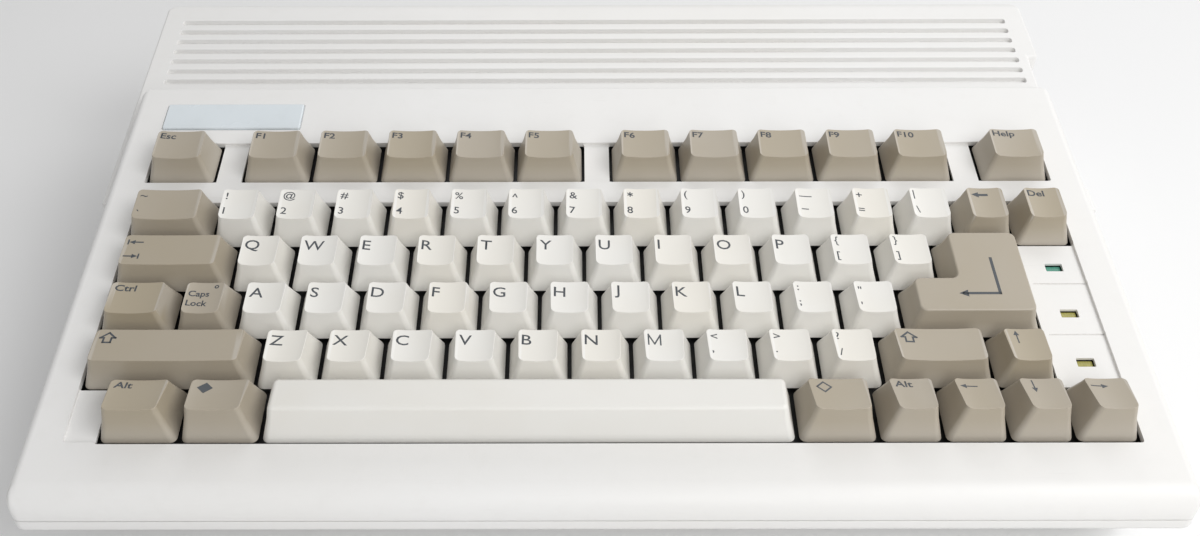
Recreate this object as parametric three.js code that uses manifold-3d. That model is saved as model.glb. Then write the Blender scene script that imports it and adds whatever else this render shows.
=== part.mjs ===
// A vintage home computer: keyboard, mainboard and disk drive in one wedge-shaped case of two shells.
// Millimetres. X points right, Y to the back, Z up, as seen by a person typing.
// The origin is on the table, under the middle of the case.

import * as THREE from 'three';
import { mergeVertices } from 'three/addons/utils/BufferGeometryUtils.js';
import Module from 'manifold-3d';

const wasm = await Module();
wasm.setup();

// Clearances shared by the whole machine
const fit = 0.3;
const overrun = 2;

// Case
const wall = 2.5;
const baseHeight = 4;
const seamHeight = 35;
const lipHeight = 5.5;
const bevelRun = 25;
const frontRoundShare = 0.8;
const rearRound = 8;
const frontCornerRound = 5;
const rearCornerRound = 8;
const deckEdgeRound = 3;
const stepRound = 1.2;
const edgeSteps = 3;
const roundShare = 0.98;

// Key plane: the tilted plane of the key skirts, whose origin is the middle of the number row.
// The deck lies just above it, and the lower tier with the vents behind the deck.
const keyTilt = THREE.MathUtils.degToRad(9);
const numberRowFromFront = 104.4;
const keyboardGap = 1.3;
const deckSideMargin = 12.3375;
const deckRise = 0.5;
const deckBack = 69;
const tierDrop = 8.5;

// Widening of the lower case behind the keys, and the bay of the two game ports on the right
const ledgeWidth = 5.5;
const ledgeSetback = 4;
const pillarLength = 11;
const portBayGap = 2.9;
const portBayMargin = 3;
const portBayDepth = 4;

// Bay of the rear connectors
const rearBayWidth = 306;
const rearBayDepth = 7;
const rearBaySill = 5;

// Vent grooves
const ventCount = 7;
const ventPitch = 6;
const firstVentBehindDeck = 13.5;
const lastVentFromRear = 17.44;
const ventFromSide = 8.2;
const ventWidth = 2.8;
const ventDepth = 1.6;

// Keys: positions and widths are shares of the key pitch, counted from the left end of the rows
const keyPitch = 19.05;
const functionRowBack = 29.16;
const keyTravel = 3.5;
const skirtMarginSide = 0.65;
const skirtMarginFront = 0.42;
const topInsetSide = 4;
const topInsetFront = 3.8;
const topInsetBack = 2.75;
const dishDepth = 0.8;
const dishSteps = 4;
const wideDishDepth = 0.3;
const capWall = 1.5;
const stemSide = 4.5;
const webDepth = 6;
const webHeight = 1.2;
const openingMargin = 0.8;
const fieldRecess = 0.8;
const rowLengthShare = 16.5;

const functionRow = { back: functionRowBack, frontHeight: 9.5, backHeight: 9.75 };
const numberRow = { back: 0, frontHeight: 10.4, backHeight: 10.5 };
const upperRow = { back: -keyPitch, frontHeight: 9.3, backHeight: 8.7 };
const homeRow = { back: -keyPitch * 2, frontHeight: 9, backHeight: 7.9 };
const lowerRow = { back: -keyPitch * 3, frontHeight: 9.9, backHeight: 8.1 };
const spaceRow = { back: -keyPitch * 4, frontHeight: 12.8, backHeight: 9.1 };
const returnHeight = 9.1;

// Each key: its name, its row, and the shares where it starts and how wide it is
const singleKeyShares = [
  ['key_escape', functionRow, 0, 1.25],
  ['key_help', functionRow, 15.25, 1.25],
  ['key_grave', numberRow, 0, 1.5],
  ['key_backspace', numberRow, 14.5, 1],
  ['key_delete', numberRow, 15.5, 1],
  ['key_tab', upperRow, 0, 2],
  ['key_control', homeRow, 0, 1.25],
  ['key_caps_lock', homeRow, 1.25, 1],
  ['key_shift_left', lowerRow, 0, 2.75],
  ['key_shift_right', lowerRow, 12.75, 1.75],
  ['key_up', lowerRow, 14.5, 1],
  ['key_alt_left', spaceRow, 0.5, 1.25],
  ['key_special_left', spaceRow, 1.75, 1.25],
  ['key_space', spaceRow, 3, 8.25],
  ['key_special_right', spaceRow, 11.25, 1.25],
  ['key_alt_right', spaceRow, 12.5, 1],
  ['key_left', spaceRow, 13.5, 1],
  ['key_down', spaceRow, 14.5, 1],
  ['key_right', spaceRow, 15.5, 1],
];
const functionGroupShares = [1.75, 8.5];
const functionKeysPerGroup = 5;
const functionKeyShare = 1.25;
const bankShares = [
  ['keys_number_row', numberRow, 1.5, 13],
  ['keys_upper_row', upperRow, 2, 12],
  ['keys_home_row', homeRow, 2.25, 11],
  ['keys_lower_row', lowerRow, 2.75, 10],
];
const returnUpperStartShare = 14;
const returnLowerStartShare = 13.25;
const returnEndShare = 15.5;
const wideKeyShare = 2;

// Key fields: shallow recesses of the deck, each from its front row to its back row. Blank panels are
// left in them beside the keys.
const fields = [[functionRow, functionRow], [spaceRow, numberRow]];

// Openings of the deck: the row and the shares where each one starts and ends
const openingShares = [
  [functionRow, 0, 1.25],
  [functionRow, 1.75, 8],
  [functionRow, 8.5, 14.75],
  [functionRow, 15.25, rowLengthShare],
  [numberRow, 0, rowLengthShare],
  [upperRow, 0, 15.5],
  [homeRow, 0, 15.5],
  [lowerRow, 0, 15.5],
  [spaceRow, 0.5, rowLengthShare],
];

// Keyboard unit under the caps, stacked downwards from the skirts
const frameClearance = 1.5;
const framePlate = 2;
const frameBorder = 2.2;
const plungerSpace = 3.9;
const membraneThickness = 0.5;
const backplateThickness = 1;

// Status lamps
const lampLength = 6;
const lampWidth = 4;
const lampFromRowEnd = 8.3;
const lampRecess = 1.7;

// Mainboard and its shield
const boardStandoff = 5;
const boardThickness = 1.6;
const boardSideMargin = 6;
const boardPostRadius = 3;
const chipHeight = 3.6;
const shieldThickness = 0.8;
const shieldRise = 16.9;
const shieldMargin = 5;

// Disk drive on the right
const driveFromBevel = 0.7;
const driveWidth = 101.6;
const driveLength = 150;
const driveHeight = 25.4;
const driveStandoff = 0.8;
const driveShell = 1.2;
const diskSlotWidth = 95.5;
const diskSlotHeight = 5.4;
const diskSlotRise = 16;
const slotWindowMargin = 1.4;
const ejectWidth = 12;
const ejectHeight = 5.4;
const ejectLength = 22;
const ejectProud = 3.2;
const ejectRise = 7.2;
const ejectFromDriveSide = 6.6;

// Expansion bay and its cover, under the left of the keyboard
const bayLength = 90;
const bayWidth = 50;
const bayFromBevel = 7;
const bayFromSide = 27;
const collarWall = 1.6;
const collarHeight = 16;
const hingePinRadius = 0.6;
const hingePinLength = 1.3;
const hingePinSides = 8;

// Memory card slot on the left
const cardWidth = 55;
const cardSlotHeight = 5.6;
const cardSlotDepth = 82;
const cardGuideWall = 1.2;
const cardBehindLedge = 41.5;
const cardWindowMargin = 0.9;

// Connectors
const flangeHeight = 12.5;
const flangeThickness = 1;
const plugHeight = 8.4;
const plugCornerRound = 2;
const plugSlant = THREE.MathUtils.degToRad(10);
const plugShell = 0.8;
const connectorDepth = 9;
const rearReach = 5.4;
const sideReach = 3.4;
const smallPlug = { plugWidth: 17, flangeWidth: 31 };
const videoPlug = { plugWidth: 36.2, flangeWidth: 50 };
const widePlug = { plugWidth: 39, flangeWidth: 53 };
const gamePortPitch = 34;
const rearPortGap = 5;
const jackBlockWidth = 36;
const jackRadius = 4.1;
const jackSides = 12;
const jackPitch = 11.4;
const jackBore = 1.5;
const powerWidth = 17;
const powerNeck = 14;
const powerNeckHeight = 10.5;
const powerReach = 2;
const powerNeckRound = 2.5;

// Rubber feet
const footRadius = 7;
const footRecess = 1;
const footSides = 16;
const footFromSide = 22;
const footFromBevel = 4;
const footFromBack = 20;

// Screw bosses of the bottom shell
const bossWall = 1.8;
const bossSides = 12;
const screwHeadRadius = 3.4;
const screwHeadDepth = 2;
const boardNotchGap = 0.8;
const bossFromSide = 12;
const bossBehindFoot = 40;
const bossFromBack = 20;

// Derived sizes of the case
const deckHalf = (rowLengthShare * keyPitch) / 2 + deckSideMargin;
const caseHalf = deckHalf + ledgeWidth;
const caseWidth = caseHalf * 2;
const ventSpan = (ventCount - 1) * ventPitch;
const tierBack = deckBack + firstVentBehindDeck + ventSpan + lastVentFromRear;
const caseDepth = numberRowFromFront + tierBack * Math.cos(keyTilt) + tierDrop * Math.sin(keyTilt);
const front = -caseDepth / 2;
const rear = caseDepth / 2;
const floorTop = baseHeight + wall;
const rimHeight = seamHeight - fit;
const boardBottom = floorTop + boardStandoff;
const boardTop = boardBottom + boardThickness;
const portHeight = boardTop + fit + flangeHeight / 2;
const rowHalf = keyPitch / 2;
const frameTop = -(keyTravel + frameClearance);
const frameBottom = frameTop - framePlate - plungerSpace;
const membraneTop = frameBottom - fit;
const backplateTop = membraneTop - membraneThickness - fit;
const stemBottom = membraneTop + keyTravel + fit;
const bossOutside = screwHeadRadius + bossWall;

// The front bevel of the bottom shell, and how far its inside is from the front at a height
const bevelHeight = seamHeight - lipHeight - baseHeight;
const bevelLength = Math.hypot(bevelRun, bevelHeight);

function insideBevel(height) {
  const share = (height - baseHeight) / bevelHeight;
  return front + bevelRun * (1 - share) + (wall * bevelLength) / bevelHeight;
}

// Disk drive
const driveRight = deckHalf - wall - fit;
const driveLeft = driveRight - driveLength;
const driveBottom = floorTop + driveStandoff;
const driveTop = driveBottom + driveHeight;
const driveNear = insideBevel(driveBottom) + driveFromBevel;
const driveFar = driveNear + driveWidth;
const driveMiddle = (driveNear + driveFar) / 2;
const slotZ = driveBottom + diskSlotRise;
const ejectY = driveFar - driveShell - ejectFromDriveSide - ejectWidth / 2;
const ejectZ = driveBottom + ejectRise;

// The key plane as a place in the case. The keyboard unit clears the top front edge of the drive.
const unitDepth = backplateThickness - backplateTop;
const numberRowY = front + numberRowFromFront;
const keyPlaneHeight = driveTop + keyboardGap + unitDepth / Math.cos(keyTilt)
  + (numberRowY - driveNear) * Math.tan(keyTilt);
const keyPlane = new THREE.Matrix4()
  .makeTranslation(0, numberRowY, keyPlaneHeight)
  .multiply(new THREE.Matrix4().makeRotationX(keyTilt));

function keyX(share) {
  return (share - rowLengthShare / 2) * keyPitch;
}

// Turns a place on the key plane, given as distance back and height, into the case's Y and Z
function onCase(back, height) {
  const place = new THREE.Vector3(0, back, height).applyMatrix4(keyPlane);
  return [place.y, place.z];
}

// Outlines. An outline is a list of corners, counter-clockwise, each with its two places and,
// where it is round, its radius.

function cornerPoint([a, b]) {
  return new THREE.Vector2(a, b);
}

function neighbours(corners, index) {
  const before = corners[(index + corners.length - 1) % corners.length];
  const after = corners[(index + 1) % corners.length];
  return [cornerPoint(before), cornerPoint(after)];
}

function rounded(corners) {
  return corners.flatMap((place, index) => {
    const corner = cornerPoint(place);
    const radius = place[2] ?? 0;
    if (radius === 0) {
      return [corner];
    }
    const [before, after] = neighbours(corners, index);
    const toBefore = before.sub(corner).normalize();
    const toAfter = after.sub(corner).normalize();
    const half = toBefore.angleTo(toAfter) / 2;
    const middle = toBefore.clone().add(toAfter).normalize();
    const centre = corner.clone().addScaledVector(middle, radius / Math.sin(half));
    const start = corner.clone().addScaledVector(toBefore, radius / Math.tan(half)).sub(centre);
    const end = corner.clone().addScaledVector(toAfter, radius / Math.tan(half)).sub(centre);
    const turn = Math.atan2(start.cross(end), start.dot(end));
    return Array.from({ length: edgeSteps + 1 }, (_, step) => start.clone()
      .rotateAround(new THREE.Vector2(), (turn * step) / edgeSteps)
      .add(centre));
  });
}

// Moves every side inwards and lets the round corners follow
function shrink(corners, distance) {
  return corners.map((place, index) => {
    const point = cornerPoint(place);
    const [before, after] = neighbours(corners, index);
    const sideIn = point.clone().sub(before).normalize();
    const sideOut = after.sub(point).normalize();
    const normalIn = new THREE.Vector2(-sideIn.y, sideIn.x);
    const normalOut = new THREE.Vector2(-sideOut.y, sideOut.x);
    const reach = distance / (1 + normalIn.dot(normalOut));
    point.addScaledVector(normalIn.add(normalOut), reach);
    const radius = place[2] ?? 0;
    return [point.x, point.y, radius === 0 ? 0 : Math.max(radius - distance, 0)];
  });
}

function rectangle(a0, a1, b0, b1, radius = 0) {
  return [[a0, b0, radius], [a1, b0, radius], [a1, b1, radius], [a0, b1, radius]];
}

// Solids from outlines

function extruded(outline, depth) {
  return new THREE.ExtrudeGeometry(new THREE.Shape(rounded(outline)), { depth, bevelEnabled: false });
}

function upright(outline, bottom, top) {
  return extruded(outline, top - bottom).translate(0, 0, bottom);
}

// An outline in Y and Z, drawn out along X
function across(outline, left, right) {
  const turn = new THREE.Matrix4().makeBasis(
    new THREE.Vector3(0, 1, 0),
    new THREE.Vector3(0, 0, 1),
    new THREE.Vector3(1, 0, 0),
  );
  return extruded(outline, right - left).applyMatrix4(turn).translate(left, 0, 0);
}

function block(left, right, near, far, bottom, top) {
  return new THREE.BoxGeometry(right - left, far - near, top - bottom)
    .translate((left + right) / 2, (near + far) / 2, (bottom + top) / 2);
}

function post(radius, sides, x, y, bottom, top) {
  return new THREE.CylinderGeometry(radius, radius, top - bottom, sides)
    .rotateX(Math.PI / 2)
    .translate(x, y, (bottom + top) / 2);
}

function solid(geometry) {
  const bare = geometry.clone();
  bare.deleteAttribute('normal');
  bare.deleteAttribute('uv');
  const merged = mergeVertices(bare);
  return new wasm.Manifold(new wasm.Mesh({
    numProp: 3,
    vertProperties: new Float32Array(merged.attributes.position.array),
    triVerts: new Uint32Array(merged.index.array),
  }));
}

function joined(geometries) {
  return geometries.map(solid).reduce((whole, piece) => whole.add(piece));
}

function surface(body) {
  const { vertProperties, triVerts } = body.getMesh();
  const geometry = new THREE.BufferGeometry();
  geometry.setAttribute('position', new THREE.BufferAttribute(vertProperties, 3));
  geometry.setIndex(new THREE.BufferAttribute(triVerts, 1));
  geometry.computeVertexNormals();
  return geometry;
}

// The waste outside a rounded edge. The edge runs from start along direction, and inwardA and inwardB
// point from it along the two faces that meet there.
function edgeWaste(start, direction, inwardA, inwardB, radius, length) {
  const outline = [[-overrun, -overrun], [radius, -overrun]];
  for (let step = 0; step <= edgeSteps; step += 1) {
    const angle = (Math.PI / 2) * (step / edgeSteps);
    outline.push([radius * (1 - Math.sin(angle)), radius * (1 - Math.cos(angle))]);
  }
  outline.push([-overrun, radius]);
  const turn = new THREE.Matrix4().makeBasis(inwardA, inwardB, direction).setPosition(start);
  return extruded(outline, length).applyMatrix4(turn);
}

// Materials

const casePlastic = { color: 0xe9e8e6, roughness: 0.45, metalness: 0 };
const tanPlastic = { color: 0xa59b87, roughness: 0.5, metalness: 0 };
const palePlastic = { color: 0xe1ded6, roughness: 0.5, metalness: 0 };
const blackPlastic = { color: 0x1d1c1b, roughness: 0.6, metalness: 0 };
const boardGreen = { color: 0x2f5a3a, roughness: 0.55, metalness: 0 };
const sheetSteel = { color: 0xb4b6b8, roughness: 0.35, metalness: 0.9 };
const clearSheet = { color: 0x9aa79f, roughness: 0.3, metalness: 0 };
const footRubber = { color: 0x2c2c2d, roughness: 0.85, metalness: 0 };
const greenLens = { color: 0x50967f, roughness: 0.3, metalness: 0 };
const amberLens = { color: 0xa5a05a, roughness: 0.3, metalness: 0 };

const computer = new THREE.Group();
const keyboard = new THREE.Group();
keyboard.applyMatrix4(keyPlane);
computer.add(keyboard);

function addPart(parent, name, geometry, finish) {
  const part = new THREE.Mesh(geometry, new THREE.MeshStandardMaterial(finish));
  part.name = name;
  parent.add(part);
  return part;
}

// Plans of the case, counter-clockwise from the front left corner. Only the top shell has the pillar
// in front of the port bay.

const portBayFront = driveFar + portBayGap;
const portBayRear = portBayFront + gamePortPitch + smallPlug.flangeWidth + portBayMargin * 2;
const portBayFace = caseHalf - portBayDepth;
const pillarFront = portBayFront - pillarLength;
const ledgeFront = pillarFront + ledgeSetback;
const frontPlan = [[-deckHalf, front, frontCornerRound], [deckHalf, front, frontCornerRound]];
const pillarPlan = [
  [deckHalf, pillarFront],
  [caseHalf, pillarFront, stepRound],
  [caseHalf, portBayFront, stepRound],
];
const rearPlan = [
  [portBayFace, portBayFront],
  [portBayFace, portBayRear],
  [caseHalf, portBayRear, stepRound],
  [caseHalf, rear, rearCornerRound],
  [-caseHalf, rear, rearCornerRound],
  [-caseHalf, ledgeFront, stepRound],
  [-deckHalf, ledgeFront],
];
const topPlan = [...frontPlan, ...pillarPlan, ...rearPlan];
const basePlan = [...frontPlan, [deckHalf, portBayFront], ...rearPlan];

const rearBayFace = rear - rearBayDepth;
const rearBayHalf = rearBayWidth / 2;

// Side outlines. An open outline is drawn past its open side by the wall and an overrun, so that its
// shrunken copy still passes the seam.

const openReach = wall + overrun;
const deckRear = onCase(deckBack, deckRise)[0];

function slopeHeight(level, y) {
  const [planeY, planeZ] = onCase(0, level);
  return planeZ + (y - planeY) * Math.tan(keyTilt);
}

// The front edge of the deck is rounded over a share of the face above the seam
function deckSide(bottom) {
  const frontHeight = slopeHeight(deckRise, front);
  return [
    [front, bottom],
    [deckRear, bottom],
    [deckRear, slopeHeight(deckRise, deckRear)],
    [front, frontHeight, (frontHeight - seamHeight) * frontRoundShare],
  ];
}

function tierSide(bottom) {
  return [
    [front, bottom],
    [rear, bottom],
    [rear, slopeHeight(-tierDrop, rear), rearRound],
    [front, Math.max(slopeHeight(-tierDrop, front), seamHeight + fit)],
  ];
}

function bottomSide(top) {
  return [
    [front + bevelRun, baseHeight],
    [rear, baseHeight],
    [rear, top],
    [front, top],
    [front, seamHeight - lipHeight],
  ];
}

const deckPlan = rectangle(-deckHalf, deckHalf, front, deckRear, frontCornerRound);

function clipped(side, plan) {
  const far = caseWidth;
  return solid(across(side, -far, far)).intersect(solid(upright(plan, -far, far)));
}

// Top shell

function topShell() {
  const low = seamHeight - openReach;
  const outer = clipped(deckSide(seamHeight), deckPlan).add(clipped(tierSide(seamHeight), topPlan));
  const deckInside = clipped(shrink(deckSide(low), wall), shrink(deckPlan, wall));
  const tierInside = clipped(shrink(tierSide(low), wall), shrink(basePlan, wall));
  const rearBayRoof = solid(block(
    -rearBayHalf - wall, rearBayHalf + wall,
    rearBayFace - wall, rear,
    low, seamHeight + wall,
  ));
  const roofOutside = solid(block(-caseHalf, caseHalf, front, rear, low - wall, seamHeight));
  let shell = outer
    .subtract(deckInside)
    .subtract(tierInside.subtract(rearBayRoof.subtract(roofOutside)));

  // Rounded long edges, along the tilt
  const back = new THREE.Vector3(0, Math.cos(keyTilt), Math.sin(keyTilt));
  const down = new THREE.Vector3(0, Math.sin(keyTilt), -Math.cos(keyTilt));
  const right = new THREE.Vector3(1, 0, 0);
  const left = new THREE.Vector3(-1, 0, 0);
  const deckY = front - overrun;
  const deckZ = slopeHeight(deckRise, deckY);
  const deckRun = deckRear - deckY + overrun;
  const tierZ = slopeHeight(-tierDrop, pillarFront);
  const tierRun = caseDepth;
  const cuts = [
    edgeWaste(new THREE.Vector3(-deckHalf, deckY, deckZ), back, right, down, deckEdgeRound, deckRun),
    edgeWaste(new THREE.Vector3(deckHalf, deckY, deckZ), back, down, left, deckEdgeRound, deckRun),
    edgeWaste(new THREE.Vector3(-caseHalf, pillarFront, tierZ), back, right, down, stepRound, tierRun),
    edgeWaste(new THREE.Vector3(caseHalf, pillarFront, tierZ), back, down, left, stepRound, tierRun),
  ];

  // Openings for the keys, windows of the lamps and the vent grooves, all square to the key plane
  const deckUnder = deckRise - wall - overrun;
  const deckOver = deckRise + overrun;
  function fieldCut(start, end, frontRow, backRow, bottom) {
    return block(
      keyX(start) - openingMargin, keyX(end) + openingMargin,
      frontRow.back - rowHalf - openingMargin, backRow.back + rowHalf + openingMargin,
      bottom, deckOver,
    ).applyMatrix4(keyPlane);
  }
  fields.forEach(([frontRow, backRow]) => {
    cuts.push(fieldCut(0, rowLengthShare, frontRow, backRow, deckRise - fieldRecess));
  });
  openingShares.forEach(([row, start, end]) => {
    cuts.push(fieldCut(start, end, row, row, deckUnder));
  });
  lampPlaces().forEach(({ x, y }) => {
    cuts.push(block(
      x - lampLength / 2, x + lampLength / 2,
      y - lampWidth / 2, y + lampWidth / 2,
      deckUnder, deckOver,
    ).applyMatrix4(keyPlane));
  });
  for (let vent = 0; vent < ventCount; vent += 1) {
    const y = deckBack + firstVentBehindDeck + vent * ventPitch;
    const groove = [
      [y - ventWidth / 2, -tierDrop - ventDepth],
      [y + ventWidth / 2, -tierDrop],
      [y + ventWidth / 2, -tierDrop + overrun],
      [y - ventWidth / 2, -tierDrop + overrun],
    ];
    cuts.push(across(groove, ventFromSide - caseHalf, caseHalf - ventFromSide).applyMatrix4(keyPlane));
  }
  cuts.forEach((cut) => {
    shell = shell.subtract(solid(cut));
  });
  return surface(shell);
}

function lampPlaces() {
  const x = keyX(rowLengthShare) - lampFromRowEnd;
  return [upperRow, homeRow, lowerRow].map((row) => ({ x, y: row.back }));
}

// Expansion bay

const bayFront = front + bevelRun + bayFromBevel;
const bayRear = bayFront + bayWidth;
const bayLeft = wall + bayFromSide - deckHalf;
const bayRight = bayLeft + bayLength;
const hingeY = bayRear - fit - wall / 2;
const hingeZ = baseHeight + wall / 2;

// Mainboard outline: a full-width strip at the back and a tongue on the left, beside the drive

const boardLeft = -deckHalf + wall + boardSideMargin / 2;
const boardRight = portBayFace - wall - fit;
const boardRear = rearBayFace - wall - fit;
const boardFront = bayRear + collarWall + boardSideMargin;
const boardStep = driveFar + boardSideMargin;
const tongueRight = driveLeft - boardSideMargin;

// Places of the connectors. Their own frame has X along the face, Y up and Z outwards, with the origin
// in the middle of the flange's outer face.

const facingRear = new THREE.Matrix4().makeBasis(
  new THREE.Vector3(-1, 0, 0),
  new THREE.Vector3(0, 0, 1),
  new THREE.Vector3(0, 1, 0),
);
const facingRight = new THREE.Matrix4().makeBasis(
  new THREE.Vector3(0, 1, 0),
  new THREE.Vector3(0, 0, 1),
  new THREE.Vector3(1, 0, 0),
);
const rearFlangeY = rearBayFace - wall - fit;
const sideFlangeX = portBayFace - wall - fit;
const gamePortMiddle = (portBayFront + portBayRear) / 2;

function plugPortOf(name, size, hollow) {
  return { name, kind: plugPort, hole: plugHole, width: size.flangeWidth, size, hollow };
}

const rearPorts = [
  { name: 'power_socket', kind: powerSocket, hole: powerHole, width: powerWidth },
  plugPortOf('parallel_port', widePlug, false),
  plugPortOf('serial_port', widePlug, true),
  plugPortOf('external_drive_port', videoPlug, false),
  plugPortOf('video_port', videoPlug, true),
  { name: 'audio_video_jacks', kind: jackBlock, hole: jackHoles, width: jackBlockWidth },
];
const rearPortsWidth = rearPorts.reduce((sum, port) => sum + port.width + rearPortGap, -rearPortGap);
let nextRearPort = -rearPortsWidth / 2;
rearPorts.forEach((port) => {
  port.place = facingRear.clone().setPosition(nextRearPort + port.width / 2, rearFlangeY, portHeight);
  port.reach = rearReach;
  nextRearPort += port.width + rearPortGap;
});

const sidePorts = [plugPortOf('joystick_port', smallPlug, true), plugPortOf('mouse_port', smallPlug, true)];
sidePorts.forEach((port, index) => {
  const y = gamePortMiddle + (index - 1 / 2) * gamePortPitch;
  port.place = facingRight.clone().setPosition(sideFlangeX, y, portHeight);
  port.reach = sideReach;
});

function plugOutline(width, height) {
  const slant = height * Math.tan(plugSlant);
  return [
    [-width / 2 + slant, -height / 2, plugCornerRound],
    [width / 2 - slant, -height / 2, plugCornerRound],
    [width / 2, height / 2, plugCornerRound],
    [-width / 2, height / 2, plugCornerRound],
  ];
}

function powerOutline() {
  const halfWidth = powerNeck / 2;
  const halfHeight = powerNeckHeight / 2;
  return rectangle(-halfWidth, halfWidth, -halfHeight, halfHeight, powerNeckRound);
}

function neckLength(reach) {
  return wall + fit + reach;
}

function plugPort({ size, hollow, reach }) {
  const outline = plugOutline(size.plugWidth, plugHeight);
  const length = neckLength(reach);
  const flangeHalf = size.flangeWidth / 2;
  const bodyHalf = size.plugWidth / 2 + flangeThickness;
  const tall = flangeHeight / 2;
  let port = joined([
    block(-flangeHalf, flangeHalf, -tall, tall, -flangeThickness, 0),
    block(-bodyHalf, bodyHalf, -tall, tall - flangeThickness, -connectorDepth, -flangeThickness / 2),
    upright(outline, -flangeThickness / 2, length),
  ]);
  if (hollow) {
    port = port.subtract(solid(upright(shrink(outline, plugShell), 0, length + overrun)));
  }
  return surface(port);
}

function plugHole({ size, reach }) {
  return [upright(shrink(plugOutline(size.plugWidth, plugHeight), -fit), 0, neckLength(reach) + overrun)];
}

function powerSocket() {
  const tall = flangeHeight / 2;
  const half = powerWidth / 2;
  return surface(joined([
    block(-half, half, -tall, tall, -connectorDepth, 0),
    upright(powerOutline(), -flangeThickness, neckLength(powerReach)),
  ]));
}

function powerHole() {
  return [upright(shrink(powerOutline(), -fit), 0, neckLength(rearReach) + overrun)];
}

function jackCentres() {
  return [-jackPitch, 0, jackPitch];
}

function jackBlock({ reach }) {
  const tall = flangeHeight / 2;
  const half = jackBlockWidth / 2;
  const length = neckLength(reach);
  let jacks = solid(block(-half, half, -tall, tall, -connectorDepth, 0));
  jackCentres().forEach((x) => {
    jacks = jacks.add(solid(post(jackRadius, jackSides, x, 0, -flangeThickness, length)));
  });
  jackCentres().forEach((x) => {
    jacks = jacks.subtract(solid(post(jackBore, jackSides, x, 0, -flangeThickness, length + overrun)));
  });
  return surface(jacks);
}

function jackHoles({ reach }) {
  return jackCentres().map((x) => post(jackRadius + fit, jackSides, x, 0, 0, neckLength(reach) + overrun));
}

// Memory card slot

const cardY = ledgeFront + cardBehindLedge;
const cardLeft = -caseHalf + wall + fit;
const cardBottom = boardTop + fit;
const cardTop = cardBottom + cardSlotHeight + cardGuideWall * 2;
const cardZ = (cardBottom + cardTop) / 2;

// Bottom shell

const footX = caseHalf - footFromSide;
const frontFootY = front + bevelRun + footFromBevel + footRadius;
const rearFootY = rear - footFromBack;

function footPlaces() {
  return [
    { name: 'foot_front_left', x: -footX, y: frontFootY },
    { name: 'foot_front_right', x: footX, y: frontFootY },
    { name: 'foot_rear_left', x: -footX, y: rearFootY },
    { name: 'foot_rear_right', x: footX, y: rearFootY },
  ];
}

function boardPostPlaces() {
  const inset = boardSideMargin * 2;
  return [
    [boardLeft + inset, boardFront + inset],
    [tongueRight - inset, boardFront + inset],
    [boardLeft + inset, boardRear - inset],
    [tongueRight - inset, boardRear - inset],
    [boardRight - inset, boardRear - inset],
    [boardRight - inset, boardStep + inset],
  ];
}

function bossPlaces() {
  const sideX = deckHalf - bossFromSide;
  const backX = rearBayHalf + bossFromSide;
  return [
    [-sideX, frontFootY + bossBehindFoot],
    [-backX, rear - bossFromBack],
    [backX, rear - bossFromBack],
  ];
}

function bottomShell() {
  const outer = clipped(bottomSide(rimHeight), basePlan);
  const inside = clipped(shrink(bottomSide(rimHeight + openReach), wall), shrink(basePlan, wall));
  const rearBay = solid(block(
    -rearBayHalf, rearBayHalf, rearBayFace, rear + overrun, baseHeight + rearBaySill, seamHeight + overrun,
  ));
  const rearBayLining = solid(block(
    -rearBayHalf - wall, rearBayHalf + wall, rearBayFace - wall, rear + overrun,
    baseHeight, seamHeight + overrun,
  ));
  let shell = outer.subtract(rearBay).subtract(inside.subtract(rearBayLining));

  // Collar of the expansion bay, posts of the board, rails of the drive and screw bosses
  const collarBottom = baseHeight + wall / 2;
  const added = [
    block(
      bayLeft - collarWall, bayRight + collarWall, bayFront - collarWall, bayRear + collarWall,
      collarBottom, floorTop + collarHeight,
    ),
  ];
  boardPostPlaces().forEach(([x, y]) => {
    added.push(post(boardPostRadius, bossSides, x, y, collarBottom, boardBottom - fit));
  });
  [driveNear + boardSideMargin, driveFar - boardSideMargin * 2].forEach((y) => {
    added.push(block(
      driveLeft + boardSideMargin, driveRight - boardSideMargin, y, y + boardSideMargin,
      collarBottom, driveBottom - fit,
    ));
  });
  bossPlaces().forEach(([x, y]) => {
    added.push(post(bossOutside, bossSides, x, y, collarBottom, rimHeight));
  });
  shell = shell.add(joined(added));

  const cuts = [
    block(bayLeft, bayRight, bayFront, bayRear, baseHeight - overrun, seamHeight),
    hingePins(fit),
  ];
  footPlaces().forEach(({ x, y }) => {
    cuts.push(post(footRadius + fit, footSides, x, y, baseHeight - overrun, baseHeight + footRecess));
  });
  bossPlaces().forEach(([x, y]) => {
    cuts.push(post(screwHeadRadius, bossSides, x, y, baseHeight - overrun, baseHeight + screwHeadDepth));
  });

  // Windows of the disk slot, its button and the card slot
  const diskHalf = diskSlotWidth / 2 + slotWindowMargin;
  const diskTall = diskSlotHeight / 2 + slotWindowMargin;
  const ejectHalf = ejectWidth / 2 + fit * 2;
  const ejectTall = ejectHeight / 2 + fit * 2;
  const cardHalf = cardWidth / 2 + cardWindowMargin;
  const cardTall = cardSlotHeight / 2 + cardWindowMargin;
  cuts.push(
    block(
      deckHalf - openReach, deckHalf + overrun,
      driveMiddle - diskHalf, driveMiddle + diskHalf, slotZ - diskTall, slotZ + diskTall,
    ),
    block(
      deckHalf - openReach, deckHalf + overrun,
      ejectY - ejectHalf, ejectY + ejectHalf, ejectZ - ejectTall, ejectZ + ejectTall,
    ),
    block(
      -caseHalf - overrun, -caseHalf + openReach,
      cardY - cardHalf, cardY + cardHalf, cardZ - cardTall, cardZ + cardTall,
    ),
  );
  [...rearPorts, ...sidePorts].forEach((port) => {
    port.hole(port).forEach((hole) => cuts.push(hole.applyMatrix4(port.place)));
  });
  cuts.forEach((cut) => {
    shell = shell.subtract(solid(cut));
  });
  return surface(shell);
}

// Expansion bay cover, hinged on its rear edge

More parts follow.
